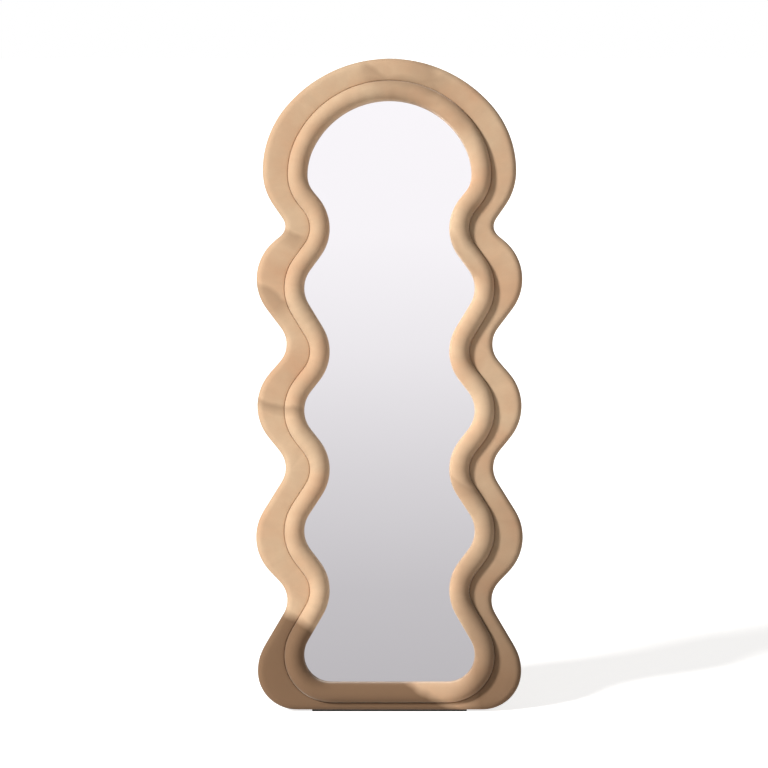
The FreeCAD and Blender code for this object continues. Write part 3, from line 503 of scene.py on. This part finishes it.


# Painted shadows, listed one by one: the shade in the crease and the roll's shadow at the arch's top, the
# roll's darker side there, and streaks and patches of cast shadow down both sides of the frame
PAINTED_SHADOWS = (
    PaintedShadow(40, 1556, 180, 120, 60, 0.42, 20),
    PaintedShadow(-10, 1515, 270, 40, 220, 0.3, 40),
    PaintedShadow(112, 1565, 96, 70, 95, 0.38, 24),
    PaintedShadow(-32, 1573, 149, 44, 44, 0.36, 14),
    PaintedShadow(-268, 1187, 160, 80, 40, 0.42, 12),
    PaintedShadow(-300, 1040, 140, 80, 85, 0.42, 12),
    PaintedShadow(-285, 760, 162, 95, 26, 0.5, 10),
    PaintedShadow(200, 1330, 100, 200, 90, 0.25, 30),
    PaintedShadow(180, 1125, 125, 90, 110, 0.35, 16),
    PaintedShadow(190, 560, 150, 90, 120, 0.38, 12),
    PaintedShadow(320, 480, 172, 110, 150, 0.4, 30),
    PaintedShadow(345, -20, 8, 190, 700, 1.0, 40),
)


def corner_shadow(shader, place, wander):
    """The large painted shadow round the lower left corner, which ends along the base, right of the middle.
    """
    left_edge, base_end = Vector((-215 * MM, 0, 224 * MM)), Vector((160 * MM, 0, 36 * MM))
    parts = shader.split(place)
    across, up = parts["X"], parts["Z"]
    fall, lean = 0.55, 1.6  # slopes of the patch's upper edge and of its end
    soft_edge, soft_end = (-10 * MM, 14 * MM), (-40 * MM, 44 * MM)
    slope = shader.math(shader.math(across, -left_edge.x), fall, "MULTIPLY")
    under = shader.math(left_edge.z, shader.math(shader.math(up, slope), wander), "SUBTRACT")
    slant = shader.math(shader.math(up, -base_end.z), lean, "MULTIPLY")
    short = shader.math(base_end.x, shader.math(shader.math(across, slant), wander), "SUBTRACT")
    lower = shader.between(under, *soft_edge)
    before = shader.between(short, *soft_end)
    return shader.math(lower, before, "MULTIPLY")


def velvet_material():
    """Short dense pile: matt, with a soft sheen at glancing angles, random patches of tone, and painted shade
    and shadows.
    """
    velvet = sizes("velvet")
    shader = Shader("beige_velvet")
    place = shader.object_place()
    cloth = shader.node("ShaderNodeUVMap", {"uv_map": "cloth"}).outputs["UV"]
    patches = shader.noise(place, 8.0, 3.0, 0.55)
    fields = shader.noise(shader.stretched(place, (4.0, 4.0, 7.0)), 1.0, 2.0, 0.5)
    strokes = shader.noise(shader.stretched(cloth, (45.0, 16.0, 1.0)), 1.0, 3.0, 0.6)
    pile = shader.noise(place, 1500.0, 2.0, 0.7)
    # turned is the painted shadow colour; the fine pile specks below also take it, a little darker
    tone, turned = tuple(velvet.tone), tuple(velvet.shadow_tone)
    nap_and_shadow = shader.mix(shader.between(patches, 0.36, 0.66), tone, tuple(velvet.warm_tone))
    nap_and_shadow = shader.mix(shader.between(fields, 0.5, 0.7, 0.0, 0.5), nap_and_shadow, tinted(tone, 1.16))
    nap_and_shadow = shader.mix(shader.between(strokes, 0.35, 0.75, 0.0, 0.35), nap_and_shadow, tinted(tone, 0.78))
    wander = shader.between(shader.noise(place, 12.0, 2.0, 0.5), 0.3, 0.7, -9 * MM, 9 * MM)
    # share: how strong the painted shadow is, the corner's and the listed ones together
    share = shader.math(corner_shadow(shader, place, wander), 0.96, "MULTIPLY")
    for mark in PAINTED_SHADOWS:
        share = shader.math(share, mark.share(shader, place, wander), "MAXIMUM")
    # the painted shadows darken the pile's colour
    nap_and_shadow = shader.mix(share, nap_and_shadow, turned)
    from_crease = shader.split(cloth)["Y"]
    sheen = shader.between(from_crease, 8 * MM, 12 * MM, 0.0, 0.42)
    fine = shader.mix(shader.between(pile, 0.2, 0.8, 0.0, 0.2), nap_and_shadow, tinted(turned, 0.9))
    weave = shader.math(pile, shader.between(strokes, 0.0, 1.0, 0.0, 0.35))
    return shader.finish(
        Base_Color=fine, Roughness=0.92, Specular_IOR_Level=0.03, Sheen_Weight=sheen, Sheen_Roughness=0.36,
        Sheen_Tint=shade(255, 244, 230), Normal=shader.bump(weave, 0.25 * MM, 0.6),
    )


def foam_material():
    """Open-cell foam, off-white, with pores that show where it is cut."""
    shader = Shader("padding_foam")
    place = shader.object_place()
    pores = shader.cells(place, 900.0)
    tone = shader.mix(shader.between(pores, 0.1, 0.6), shade(176, 166, 138), shade(239, 233, 212))
    return shader.finish(Base_Color=tone, Roughness=0.95, Normal=shader.bump(pores, 0.4 * MM, 0.8))


def fibreboard_material():
    """Raw fibreboard: even tan with fine fibres and darker specks."""
    shader = Shader("raw_fibreboard")
    place = shader.object_place()
    fibres = shader.noise(shader.stretched(place, (500.0, 1200.0, 500.0)), 1.0, 4.0, 0.7)
    specks = shader.noise(place, 700.0, 1.0, 0.5)
    tone = shader.mix(shader.between(fibres, 0.3, 0.7), shade(158, 126, 92), shade(188, 156, 118))
    tone = shader.mix(shader.between(specks, 0.62, 0.7), tone, shade(120, 92, 64))
    return shader.finish(Base_Color=tone, Roughness=0.82, Normal=shader.bump(fibres, 0.15 * MM, 0.5))


def hardboard_material():
    """Pressed hardboard, smooth side out: dark brown, faintly mottled, with a dull gloss."""
    shader = Shader("hardboard")
    place = shader.object_place()
    mottle = shader.noise(place, 55.0, 4.0, 0.65)
    fibres = shader.noise(shader.stretched(place, (900.0, 900.0, 260.0)), 1.0, 3.0, 0.7)
    tone = shader.mix(shader.between(mottle, 0.3, 0.7), shade(92, 68, 48), shade(112, 84, 60))
    tone = shader.mix(shader.between(fibres, 0.55, 0.8, 0.0, 0.6), tone, shade(142, 112, 84))
    dullness = shader.between(mottle, 0.3, 0.7, 0.48, 0.62)
    return shader.finish(Base_Color=tone, Roughness=dullness, Normal=shader.bump(fibres, 0.08 * MM, 0.5))


def silver_material():
    """Silvering seen through clear glass: a clean mirror with a trace of green-grey."""
    shader = Shader("silvered_glass")
    place = shader.object_place()
    film = shader.noise(place, 3.0, 1.0, 0.5)
    silver = tuple(sizes("glass").silver)
    tone = shader.mix(shader.between(film, 0.3, 0.7), silver, tinted(silver, 0.994))
    return shader.finish(Base_Color=tone, Metallic=1.0, Roughness=0.012)


def powder_coat_material():
    """Satin black powder coat with its fine orange-peel surface."""
    shader = Shader("powder_coat")
    place = shader.object_place()
    peel = shader.noise(place, 650.0, 2.0, 0.5)
    cloud = shader.noise(place, 25.0, 3.0, 0.5)
    coat = tuple(sizes("hardware").coat)
    tone = shader.mix(shader.between(cloud, 0.35, 0.65), coat, tinted(coat, 1.35))
    dullness = shader.between(cloud, 0.3, 0.7, 0.42, 0.52)
    return shader.finish(Base_Color=tone, Roughness=dullness, Normal=shader.bump(peel, 0.05 * MM, 0.5))


def zinc_material():
    """Bright zinc plating: pale grey metal with faint brushing and duller clouds."""
    shader = Shader("zinc_plating")
    place = shader.object_place()
    cloud = shader.noise(place, 160.0, 3.0, 0.6)
    brush = shader.noise(shader.stretched(place, (3000.0, 400.0, 400.0)), 1.0, 2.0, 0.6)
    zinc = tuple(sizes("hardware").zinc)
    tone = shader.mix(shader.between(cloud, 0.3, 0.7), zinc, tinted(zinc, 0.86))
    dullness = shader.between(cloud, 0.3, 0.7, 0.26, 0.42)
    return shader.finish(
        Base_Color=tone, Metallic=1.0, Roughness=dullness, Normal=shader.bump(brush, 0.02 * MM, 0.4)
    )


def moulded_material(name, tone, roughness, grain):
    """Moulded plastic or rubber: one colour with a fine grain and small changes in gloss."""
    shader = Shader(name)
    place = shader.object_place()
    cloud = shader.noise(place, 90.0, 3.0, 0.55)
    texture = shader.noise(place, grain, 2.0, 0.6)
    surface = shader.mix(shader.between(cloud, 0.35, 0.65), tone, tinted(tone, 1.25))
    dullness = shader.between(cloud, 0.3, 0.7, roughness - 0.05, roughness + 0.05)
    return shader.finish(
        Base_Color=surface, Roughness=dullness, Normal=shader.bump(texture, 0.04 * MM, 0.6)
    )


def dress(material, slot_name, *nodes):
    """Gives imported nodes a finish. Their own shapes stay."""
    for node in nodes:
        piece = NODES[node]
        piece.data.materials.clear()
        piece.data.materials.append(material)


# angles, in degrees: faces that turn less than the first are one flat, edges sharper than the second are
# bevelled, and the shading breaks at edges sharper than the third, or than the last on a screw
ONE_FLAT, BEVELLED, SHADE_BREAK, SCREW_BREAK = 0.5, 40, 25, 35


def ease_edges(width, material, slot_name, body, *nodes):
    """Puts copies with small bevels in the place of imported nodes, so that their edges catch the light."""
    for node in nodes:
        bm = mesh_copy(node)
        bmesh.ops.dissolve_limit(bm, angle_limit=math.radians(ONE_FLAT), verts=bm.verts, edges=bm.edges)
        piece = new_piece(f"eased_{node}", bm, material, body)
        bevel = piece.modifiers.new("edges", "BEVEL")
        bevel.width = width
        bevel.segments = 2
        bevel.limit_method = "ANGLE"
        bevel.angle_limit = math.radians(BEVELLED)
        split = piece.modifiers.new("flats", "EDGE_SPLIT")
        split.split_angle = math.radians(SHADE_BREAK)
        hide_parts(node)


def both(name):
    return (f"{name}_left", f"{name}_right")


# ---------------------------------------------------------------- velvet


def rounded_corner(radius, steps):
    """Shares of a radius across and back, round a quarter turn."""
    turns = [math.pi / 2 * step / steps for step in range(1, steps + 1)]
    return [(radius * math.sin(turn), radius * (1 - math.cos(turn))) for turn in turns]


END_GAP = 0.3 * MM  # between the board's face and the velvet's edges in the crease
FACE_CUT = 1 * MM  # how far behind the rim's face its inner outline is read
ROLL_CUT = 3 * MM  # how far before the board's face the roll's outlines are read
SMALL_STEPS, EDGE_STEPS, ROLL_STEPS = 3, 7, 20  # faces round a small rounding, the rim's edge and the roll
SWELL_POWER = 0.7  # below one, so the flat swells early and then stays level
# bends, in radians per metre, between which folds grow to their full height: the gathers behind the board,
# and the puckers on the roll's side by the glass and on its outer side
GATHERED, PUCKERED_INNER, PUCKERED_OUTER = (1.0, 7.0), (4.0, 13.0), (4.0, 8.0)
DRIFT_PLACES, DRIFT = 60, 1.6  # where the gathers' spacing drifts, and the most it does, in radians of a wave
# points before the foot of the rim and of the roll: across and up, and how far before the board's back
BEFORE_RIM, BEFORE_ROLL = ((0, 20 * MM), 100 * MM), ((0, 43 * MM), 200 * MM)


def rim_rows(velvet):
    """The rim's velvet from beside the roll, over the flat and the outer edge, to behind the board."""
    count = velvet.stations
    front = front_depth("rim_velvet")
    board_front = front_depth("frame_board")
    crease = Outline(slice_loops("rim_velvet", front - FACE_CUT)[0])
    rim = Outline(slice_loops("rim_velvet", (front - velvet.edge_round) / 2)[-1])
    inner, away = crease.stations(count)
    edge, outwards = rim.met_by(inner, away)
    flat_end = edge - outwards * velvet.edge_round
    curl = velvet.crease_round
    rows = [(inner, level(depth, count)) for depth in (board_front + END_GAP, front - curl)]
    for rise, across in rounded_corner(curl, SMALL_STEPS):
        rows.append((inner + away * across, level(front - curl + rise, count)))
    flat_start = inner + away * curl
    for share in np.linspace(0, 1, velvet.flat_rows + 1)[1:]:
        swell = velvet.crown * math.sin(math.pi * share) ** SWELL_POWER if share < 1 else 0.0
        rows.append((flat_start + (flat_end - flat_start) * share, level(front + swell, count)))
    for across, down in rounded_corner(velvet.edge_round, EDGE_STEPS):
        rows.append((flat_end + outwards * across, level(front - down, count)))
    return rows, edge, outwards


# how far inside the rim each row behind the board lies, in millimetres, and its share of a pleat's height:
# the staples press the pleats down at 11 mm
PLEAT_ROWS = ((5, 0.35), (8, 1.0), (11, 0.4), (14, 0.9), (17, 0.05), (20, 0.0), (26, 0.0))


def back_rows(velvet, edge, outwards):
    """The velvet's side, and the part turned in behind the board, gathered into pleats at the crests."""
    count = velvet.stations
    behind = -velvet.thickness
    rows = [(edge, level(behind + velvet.back_round, count))]
    for across, down in rounded_corner(velvet.back_round, SMALL_STEPS):
        rows.append((edge - outwards * down, level(behind + velvet.back_round - across, count)))
    tightness = eased(*GATHERED, bend_of(outwards, edge))
    run = np.linalg.norm(np.roll(edge, -1, axis=0) - edge, axis=1)
    reach = np.cumsum(run)
    phase = 2 * math.pi * reach / velvet.pleat_pitch
    drifts = [random.uniform(-DRIFT, DRIFT) for _ in range(DRIFT_PLACES)]
    wander = np.interp(reach, np.linspace(0, reach[-1], DRIFT_PLACES), drifts)
    fold = np.clip(np.sin(phase + wander), 0, 1) ** 2
    for inset, share in PLEAT_ROWS:
        depths = behind - velvet.pleat_depth * share * fold * tightness
        place = edge - outwards * (inset * MM)
        rows.append((place, depths))
    return rows


def make_rim(material):
    velvet = sizes("velvet")
    rows, edge, outwards = rim_rows(velvet)
    rows += back_rows(velvet, edge, outwards)
    bm = band(rows)
    face_outwards(bm, upright_point(*BEFORE_RIM))
    piece = new_piece("velvet_rim", bm, material)
    line_cloth(piece, velvet.thickness)
    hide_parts("rim_velvet")


def roll_rows(velvet):
    """The roll's velvet, from the crease by the rim, over its half-round crest, to its side by the glass."""
    count = velvet.stations
    foot = -span_upright("roll_velvet")[1][1]
    board_front = front_depth("frame_board")
    crest = front_depth("roll_velvet")
    loops = slice_loops("roll_velvet", board_front + ROLL_CUT)
    sight = Outline(loops[0])
    width = np.ptp(loops[-1][:, 0]) / 2 - np.ptp(loops[0][:, 0]) / 2
    radius = width / 2
    spring = crest - radius
    places, away = sight.stations(count)
    bend = bend_of(away, places)
    reach = np.arange(count) * np.linalg.norm(places[1] - places[0])
    ripple = np.sin(2 * math.pi * reach / velvet.ripple_pitch) * velvet.ripple_depth
    rows = []
    for depth in (foot, (foot + spring) / 2, spring):
        rows.append((places, level(depth, count)))
    for step in range(1, ROLL_STEPS + 1):
        turn = math.pi * step / ROLL_STEPS
        inner_side = max(0.0, math.cos(turn))
        outer_side = max(0.0, -math.cos(turn))
        puckered = inner_side * eased(*PUCKERED_INNER, bend) + outer_side * eased(*PUCKERED_OUTER, -bend)
        size = radius + ripple * puckered
        across = radius - size * math.cos(turn)
        rows.append((places + away * across[:, None], spring + size * math.sin(turn)))
    for depth in ((spring + board_front) / 2, board_front + END_GAP):
        rows.append((places + away * width, level(depth, count)))
    return rows[::-1]


def make_roll(material):
    velvet = sizes("velvet")
    bm = band(roll_rows(velvet))
    face_outwards(bm, upright_point(*BEFORE_ROLL))
    piece = new_piece("velvet_roll", bm, material)
    line_cloth(piece, velvet.thickness)
    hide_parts("roll_velvet")


# ---------------------------------------------------------------- fasteners


def place_in_upright(across, up, depth, angle=0.0):
    """A matrix that puts a small piece on the mirror's back, turned in its plane."""
    return TO_WORLD @ Matrix.Translation((across, -depth, up)) @ Matrix.Rotation(angle, 4, "Y")


STAPLE_HEIGHT = 0.45  # where the staples lie, as a share of the pleats' height
STAPLE_TURN = 0.14  # radians that a staple may be off its line
STAPLE_THICK, STAPLE_WIDE, STAPLE_ROUND = 0.8, 2, 0.3  # its flattened wire, as shares of the wire's size


def make_staples(material):
    """Staples along the turned-in velvet, side by side round the whole board."""
    hardware, velvet = sizes("hardware"), sizes("velvet")
    rim = Outline(slice_loops("rim_velvet", front_depth("frame_board") / 2)[-1])
    perimeter = np.linalg.norm(np.diff(rim.points, axis=0), axis=1).sum()
    places, outwards = rim.stations(int(perimeter / hardware.staple_pitch))
    depth = -velvet.thickness - velvet.pleat_depth * STAPLE_HEIGHT
    bm = bmesh.new()
    for place, away in zip(places - outwards * hardware.staple_inset, outwards):
        along = math.atan2(away[0], away[1]) + random.uniform(-STAPLE_TURN, STAPLE_TURN)
        matrix = place_in_upright(*place, depth, along)
        wire = hardware.staple_wire
        size = Matrix.Diagonal((hardware.staple_crown, wire * STAPLE_THICK, wire * STAPLE_WIDE, 1))
        made = bmesh.ops.create_cube(bm, size=1.0, matrix=matrix @ size)
        ends = {edge for vertex in made["verts"] for edge in vertex.link_edges}
        bmesh.ops.bevel(
            bm, geom=list(ends), offset=wire * STAPLE_ROUND, segments=2, profile=0.5, affect="EDGES",
            material=-1,
        )
    bmesh.ops.recalc_face_normals(bm, faces=bm.faces)
    piece = new_piece("staples", bm, material)


def islands(node):
    """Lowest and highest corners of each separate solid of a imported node, in the upright mirror's axes."""
    bm = mesh_copy(node)
    bm.transform(TO_UPRIGHT)
    left = set(bm.verts)
    found = []
    while left:
        reached, waiting = set(), [left.pop()]
        while waiting:
            vertex = waiting.pop()
            reached.add(vertex)
            near = {edge.other_vert(vertex) for edge in vertex.link_edges} & left
            left -= near
            waiting += near
        points = np.array([vertex.co for vertex in reached])
        found.append((points.min(0), points.max(0)))
    bm.free()
    return found


HEAD_FLAT, HEAD_SIDE = 0.55, 0.45  # shares of a pan head: flat on top, and straight up its side
THREAD_ROOT, THREAD_PITCH = 0.8, 0.9  # as shares of the shank's radius
ROOT_AT, CREST_AT = 0.2, 0.7  # places of a thread's root and crest along its pitch
SCREW_SIDES = 24


def turn_screw(bm, matrix, head_radius, head_height, shank_radius, shank_length):
    """A pan-head screw with a thread, its head's seat at the matrix's origin, pointing along -Y."""
    flat, side = head_radius * HEAD_FLAT, head_height * HEAD_SIDE
    root, pitch = shank_radius * THREAD_ROOT, shank_radius * THREAD_PITCH
    profile = [(0.0, head_height), (flat, head_height)]
    for turn in (0.25, 0.5, 0.75, 1.0):
        angle = turn * math.pi / 2
        across = flat + (head_radius - flat) * math.sin(angle)
        profile.append((across, side + (head_height - side) * math.cos(angle)))
    profile += [(head_radius, 0.0), (root, 0.0)]
    turns = int((shank_length - 2 * shank_radius) / pitch)
    for step in range(turns):
        profile.append((root, -pitch * (step + ROOT_AT)))
        profile.append((shank_radius, -pitch * (step + CREST_AT)))
    profile.append((0.0, -shank_length))
    ring = [bm.verts.new((radius, along, 0.0)) for radius, along in profile]
    edges = [bm.edges.new(pair) for pair in zip(ring, ring[1:])]
    bmesh.ops.spin(
        bm, geom=ring + edges, cent=(0, 0, 0), axis=(0, 1, 0), angle=2 * math.pi, steps=SCREW_SIDES,
        use_merge=True,
    )
    turned = {vertex for vertex in bm.verts if not vertex.tag}
    bmesh.ops.transform(bm, matrix=matrix, verts=list(turned))
    for vertex in turned:
        vertex.tag = True


def cut_crosses(piece, crosses):
    """Cuts the cross recesses into the screws' heads."""
    cutter_mesh = bpy.data.meshes.new("crosses")
    crosses.to_mesh(cutter_mesh)
    crosses.free()
    cutter = add_object("crosses", cutter_mesh)
    cut = piece.modifiers.new("crosses", "BOOLEAN")
    cut.operation = "DIFFERENCE"
    cut.solver = "EXACT"
    cut.use_self = True
    cut.object = cutter
    finished = bpy.data.meshes.new_from_object(piece.evaluated_get(bpy.context.evaluated_depsgraph_get()))
    piece.modifiers.clear()
    piece.data = finished
    bpy.data.objects.remove(cutter)


def make_screws(node, material):
    """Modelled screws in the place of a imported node's plain ones."""
    hardware = sizes("hardware")
    bm, crosses = bmesh.new(), bmesh.new()
    for low, high in islands(node):
        across, up = (low[0] + high[0]) / 2, (low[2] + high[2]) / 2
        radius = (high[0] - low[0]) / 2
        height = hardware.head_height
        seat = place_in_upright(across, up, -(high[1] - height), random.uniform(0, math.pi))
        turn_screw(bm, seat, radius, height, hardware.shank_radius, high[1] - height - low[1])
        for angle in (0.0, math.pi / 2):
            turned = seat @ Matrix.Translation((0, height, 0)) @ Matrix.Rotation(angle, 4, "Y")
            size = (hardware.recess_radius * 2, hardware.recess_depth * 2, hardware.recess_width, 1)
            bmesh.ops.create_cube(crosses, size=1.0, matrix=turned @ Matrix.Diagonal(size))
    bmesh.ops.remove_doubles(bm, verts=bm.verts, dist=WELD)
    bmesh.ops.recalc_face_normals(bm, faces=bm.faces)
    bmesh.ops.recalc_face_normals(crosses, faces=crosses.faces)
    piece = new_piece(f"modelled_{node}", bm, material)
    cut_crosses(piece, crosses)
    edges = piece.modifiers.new("edges", "EDGE_SPLIT")
    edges.split_angle = math.radians(SCREW_BREAK)
    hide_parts(node)


# ---------------------------------------------------------------- operators


class WAVY_OT_velvet(bpy.types.Operator):
    """Wrap the rim and the roll in velvet"""

    bl_idname = "wavy.velvet"
    bl_label = "Velvet"

    def execute(self, context):
        material = velvet_material()
        make_rim(material)
        make_roll(material)
        dress(foam_material(), "foam", *lengths_of("edge_padding"), *lengths_of("roll_core"))
        dress(fibreboard_material(), "board", "frame_board")
        return {"FINISHED"}


class WAVY_OT_glazing(bpy.types.Operator):
    """Finish the glass and what lies behind it"""

    bl_idname = "wavy.glazing"
    bl_label = "Glazing"

    def execute(self, context):
        dress(silver_material(), "mirror", "mirror_glass")
        dress(moulded_material("safety_film", shade(206, 210, 212), 0.35, 400.0), "film", "safety_film")
        dress(moulded_material("packing_foam", shade(236, 236, 232), 0.7, 500.0), "packing", "packing_sheet")
        dress(moulded_material("foam_tape", shade(38, 38, 39), 0.85, 900.0), "tape", "glass_gasket")
        dress(hardboard_material(), "hardboard", "backing_board")
        return {"FINISHED"}


class WAVY_OT_hardware(bpy.types.Operator):
    """Finish the leg, brackets, hangers and fasteners"""

    bl_idname = "wavy.hardware"
    bl_label = "Hardware"

    def execute(self, context):
        hardware, coat = sizes("hardware"), powder_coat_material()
        dress(coat, "black_steel", "leg_tube", *both("hinge_bracket"))
        zinc = zinc_material()
        plated = ("hinge_bolt", "hinge_nut", "hanger_strap", "hanger_ring")
        dress(zinc, "zinc", *(node for name in plated for node in both(name)))
        for node in ("panel_screws", "bracket_screws", "hanger_screws"):
            dress(zinc, "zinc", node)
            make_screws(node, zinc)
        make_staples(zinc)
        plastic = moulded_material("black_plastic", shade(34, 34, 36), 0.5, 500.0)
        dress(plastic, "cap_plastic", *both("end_cap"))
        dress(moulded_material("nylon", shade(228, 226, 218), 0.45, 400.0), "nylon", *both("pivot_bush"))
        rubber = moulded_material("black_rubber", shade(44, 44, 45), 0.72, 700.0)
        dress(rubber, "rubber", "foot_strip", *both("leg_sleeve"))
        ease_edges(hardware.bracket_edge, coat, "black_steel", "mirror", *both("hinge_bracket"))
        ease_edges(hardware.strap_edge, zinc, "zinc", "mirror", *both("hanger_strap"))
        ease_edges(hardware.sleeve_edge, rubber, "rubber", "leg", *both("leg_sleeve"))
        return {"FINISHED"}


# how high above level the reflected studio starts and stops to grow lighter, as the height of a unit
# direction, and its greys on the way, as on screen, with this much less green
STUDIO_FOOT, STUDIO_HEAD = 0.04, 0.24
STUDIO_TONES = ((0.0, 189), (0.18, 200), (0.36, 219), (0.55, 240), (0.72, 252), (1.0, 255))
STUDIO_TINT = 3


def sky(stage):
    """White where the camera looks past the mirror, a graded studio in reflections, even light elsewhere."""
    world = bpy.data.worlds.new("studio")
    bpy.context.scene.world = world
    world.use_nodes = True
    nodes = Nodes(world.node_tree)
    direction = nodes.node("ShaderNodeTexCoord").outputs["Generated"]
    height = nodes.between(nodes.split(direction)["Z"], STUDIO_FOOT, STUDIO_HEAD)
    ramp = nodes.node("ShaderNodeValToRGB", Fac=height)
    stops = ramp.color_ramp.elements
    while len(stops) < len(STUDIO_TONES):
        stops.new(0.5)
    for stop, (position, tone) in zip(stops, STUDIO_TONES):
        stop.position = position
        stop.color = shade(tone, tone - STUDIO_TINT, tone)
    white = nodes.node("ShaderNodeBackground", Color=(1, 1, 1, 1))
    studio = nodes.node("ShaderNodeBackground", Color=ramp.outputs["Color"])
    light = nodes.node("ShaderNodeBackground", Color=(1.0, 0.96, 0.92, 1), Strength=stage.ambient)
    path = nodes.node("ShaderNodeLightPath").outputs
    mirrored = nodes.math(path["Is Glossy Ray"], path["Is Transmission Ray"], "MAXIMUM")
    around = nodes.blend(mirrored, light.outputs[0], studio.outputs[0])
    seen = nodes.blend(path["Is Camera Ray"], around, white.outputs[0])
    nodes.node("ShaderNodeOutputWorld", Surface=seen)


def floor_material(stage):
    """Pale matt floor, lifted to white where it is seen, with the object's shadow kept."""
    shader = Shader("pale_floor", "ShaderNodeBsdfDiffuse")
    grain = shader.noise(shader.object_place(), 40.0, 3.0, 0.5)
    tone = shader.mix(shader.between(grain, 0.4, 0.6), tuple(stage.floor), tinted(stage.floor, 0.985))
    material = shader.finish(Color=tone)
    plain = shader.surface.outputs[0]
    glow = shader.node("ShaderNodeEmission", Color=(1, 1, 1, 1), Strength=stage.floor_lift)
    lifted = shader.in_order("ShaderNodeAddShader", None, plain, glow.outputs[0])
    path = shader.node("ShaderNodeLightPath").outputs
    seen = shader.math(path["Is Camera Ray"], path["Is Glossy Ray"], "MAXIMUM")
    seen = shader.math(seen, path["Is Transmission Ray"], "MAXIMUM")
    shader.put(shader.output.inputs["Surface"], shader.blend(seen, plain, lifted))
    return material


FLOOR_RADIUS = 40.0  # metres


def lay_floor(stage):
    bm = bmesh.new()
    bmesh.ops.create_circle(bm, cap_ends=True, segments=96, radius=FLOOR_RADIUS)
    mesh = bpy.data.meshes.new("floor")
    bm.to_mesh(mesh)
    bm.free()
    mesh.materials.append(floor_material(stage))
    floor = add_object("floor", mesh)


def mirror_direction(across, towards_viewer, up):
    """A direction given in the leaning mirror's axes."""
    return (Vector((across, 0, 0)) + FACING * towards_viewer + UP * up).normalized()


KEY_FROM = (-0.74, 0.6, 0.44)  # across, towards the viewer and up, in the leaning mirror's axes


def hang_key(stage):
    """The key light, from the upper left before the mirror, at about 35 degrees to its plane."""
    lamp = bpy.data.lights.new("key", "SUN")
    lamp.energy = stage.key
    lamp.angle = stage.key_softness
    lamp.color = (1.0, 0.985, 0.965)
    key = add_object("key", lamp)
    towards = mirror_direction(*KEY_FROM)
    key.rotation_mode = "QUATERNION"
    key.rotation_quaternion = towards.to_track_quat("Z", "Y")
    key.location = towards * 4


def place_camera(stage):
    """A long lens that looks squarely at the leaning mirror, as in the photograph."""
    data = bpy.data.cameras.new("camera")
    camera = add_object("camera", data)
    data.lens = data.sensor_width * stage.camera_distance / stage.picture_width
    aim = upright_point((stage.aim_across, stage.aim_up), 10 * MM)
    camera.location = aim + FACING * stage.camera_distance
    camera.rotation_mode = "QUATERNION"
    camera.rotation_quaternion = FACING.to_track_quat("Z", "Y")
    data.clip_end = 200
    bpy.context.scene.camera = camera


class WAVY_OT_stage(bpy.types.Operator):
    """Floor, light, surroundings and camera"""

    bl_idname = "wavy.stage"
    bl_label = "Stage"

    def execute(self, context):
        stage = sizes("stage")
        context.scene.view_settings.view_transform = "Standard"
        sky(stage)
        lay_floor(stage)
        hang_key(stage)
        place_camera(stage)
        return {"FINISHED"}


class WAVY_PT_panel(bpy.types.Panel):
    """Lists the steps that dress the mirror"""

    bl_idname = "WAVY_PT_panel"
    bl_label = "Wavy Mirror"
    bl_space_type = "VIEW_3D"
    bl_region_type = "UI"
    bl_category = "Wavy Mirror"

    def draw(self, context):
        for operator in OPERATORS:
            self.layout.operator(operator.bl_idname)


OPERATORS = (WAVY_OT_velvet, WAVY_OT_glazing, WAVY_OT_hardware, WAVY_OT_stage)
GROUPS = {"velvet": WavyVelvet, "glass": WavyGlass, "hardware": WavyHardware, "stage": WavyStage}


def register():
    for item in (*GROUPS.values(), *OPERATORS, WAVY_PT_panel):
        bpy.utils.register_class(item)
    for name, group in GROUPS.items():
        setattr(bpy.types.Scene, f"wavy_{name}", PointerProperty(type=group))


def unregister():
    for name in GROUPS:
        delattr(bpy.types.Scene, f"wavy_{name}")
    for item in (WAVY_PT_panel, *reversed(OPERATORS), *reversed(GROUPS.values())):
        bpy.utils.unregister_class(item)


def main():
    random.seed(8)
    register()
    for step in (bpy.ops.wavy.stage, bpy.ops.wavy.velvet, bpy.ops.wavy.glazing, bpy.ops.wavy.hardware):
        step()


if __name__ == "__main__":
    main()
